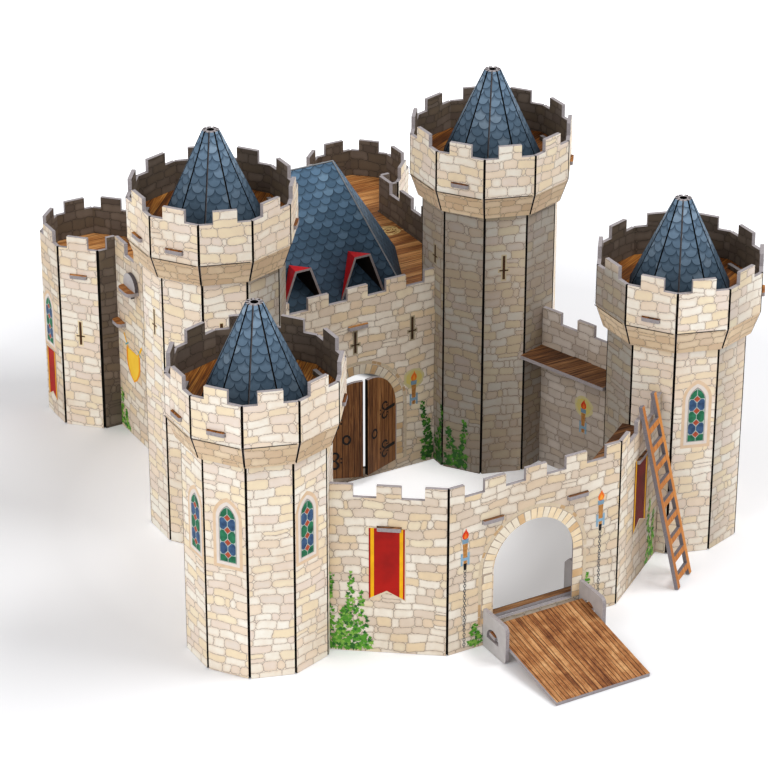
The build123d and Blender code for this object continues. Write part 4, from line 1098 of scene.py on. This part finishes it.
def hinge_line(start, end):
    """Slim round bead from one point to another."""
    clear_selection()
    bpy.ops.mesh.primitive_cylinder_add(vertices=8, radius=0.55 * mm, depth=(end - start).length)
    bead = bpy.context.object
    turn = (end - start).to_track_quat("Z", "Y").to_matrix().to_4x4()
    bead.data.transform(Matrix.Translation((start + end) / 2) @ turn)
    bead.data.materials.append(hinge_paint)
    return bead


half_ridge, half_front, half_depth, roof_rise = 37.3, 59.2, 68.7, 82.2
ends = [spot(side * half_ridge, roof_middle, deck_top + roof_rise) for side in (-1, 1)]
beads = [hinge_line(*ends)]
for side, top in zip((-1, 1), ends):
    for y in (-half_depth, half_depth):
        beads.append(hinge_line(spot(side * half_front, roof_middle + y, deck_top), top))
gather("keep_roof_hinges", beads, Matrix.Identity(4))

# Floor, light and camera

floor_material = bpy.data.materials.new("white_studio_paper")
floor_material.use_nodes = True
tree = floor_material.node_tree
tree.nodes.clear()
rays = wire(tree, "ShaderNodeLightPath").node.outputs
matte = wire(tree, "ShaderNodeBsdfDiffuse", {"Color": shade("#F2F2F4")})
seen = wire(tree, MATH, [rays["Is Camera Ray"], rays["Is Glossy Ray"]], operation="MAXIMUM")
# Paper in the walled court and the keep gets little of the studio's light, so painted light brightens it to the eye,
# and far away it fades into the white backdrop
place = wire(tree, COORDS, out="Object")
from_court = wire(tree, VECTOR, [place, (*spot(0, 110).xy, 0)], out="Value", operation="DISTANCE")
from_keep = wire(tree, VECTOR, [place, tuple(spot(0, 262))], out="Value", operation="DISTANCE")
around = ramp(tree, from_court, [(0.06, "#BEBEBE"), (0.11, "#787878"), (0.17, "#787878"), (0.24, "#101010"),
                                 (0.4, "#101010"), (0.9, "#FFFFFF")])
inside = ramp(tree, from_keep, [(0.095, "#F4F4F4"), (0.1, "#000000")])
painted_floor_light = wire(tree, MATH, [around, inside], operation="MAXIMUM")
painted_floor_light = wire(tree, MATH, [seen, painted_floor_light], operation="MULTIPLY")
glow = wire(tree, "ShaderNodeEmission", {"Color": (1, 1, 1, 1), "Strength": painted_floor_light})
wire(tree, "ShaderNodeOutputMaterial", {"Surface": wire(tree, "ShaderNodeAddShader", [matte, glow])})
clear_selection()
bpy.ops.mesh.primitive_plane_add(size=14, location=(0, 0, -0.2 * mm))
floor = bpy.context.object
floor.name = "studio_floor"
floor.data.materials.append(floor_material)

scene = bpy.context.scene
world = bpy.data.worlds.new("studio")
scene.world = world
world.use_nodes = True
tree = world.node_tree
tree.nodes.clear()
rays = wire(tree, "ShaderNodeLightPath").node.outputs
seen = wire(tree, MATH, [rays["Is Camera Ray"], rays["Is Glossy Ray"]], operation="MAXIMUM")
seen = wire(tree, MATH, [seen, rays["Is Transmission Ray"]], operation="MAXIMUM")
soft = wire(tree, "ShaderNodeBackground", {"Color": (0.97, 0.98, 1.0, 1), "Strength": 0.6})
white = wire(tree, "ShaderNodeBackground", {"Color": (1, 1, 1, 1), "Strength": 1.0})
wire(tree, "ShaderNodeOutputWorld", {"Surface": wire(tree, "ShaderNodeMixShader", [seen, soft, white])})


def lamp(name, turn, height, distance, size, power):
    """Square soft box that looks at the castle's middle, by its turn and height in degrees."""
    data = bpy.data.lights.new(name, "AREA")
    data.size = size
    data.energy = power
    box = bpy.data.objects.new(name, data)
    scene.collection.objects.link(box)
    out = away(turn) * cos(radians(height)) + up * sin(radians(height))
    box.location = out * distance + up * 0.1
    box.rotation_euler = out.to_track_quat("Z", "Y").to_euler()


lamp("key_box", -38, 54, 2.6, 1.2, 36)
lamp("left_box", -158, 34, 2.6, 1.6, 25)

lens = bpy.data.cameras.new("camera")
lens.lens = 150.71
lens.sensor_width = 36
lens.clip_end = 20
camera = bpy.data.objects.new("camera", lens)
scene.collection.objects.link(camera)
camera_place, look_turn, look_down, roll = (-1.01013, -1.76631, 1.14952), -29.70, 27.295, 0.065
camera.matrix_world = (Matrix.Translation(camera_place) @ Matrix.Rotation(radians(look_turn), 4, "Z")
                       @ Matrix.Rotation(radians(90 - look_down), 4, "X") @ Matrix.Rotation(radians(roll), 4, "Z"))
scene.camera = camera
scene.view_settings.view_transform = "Standard"
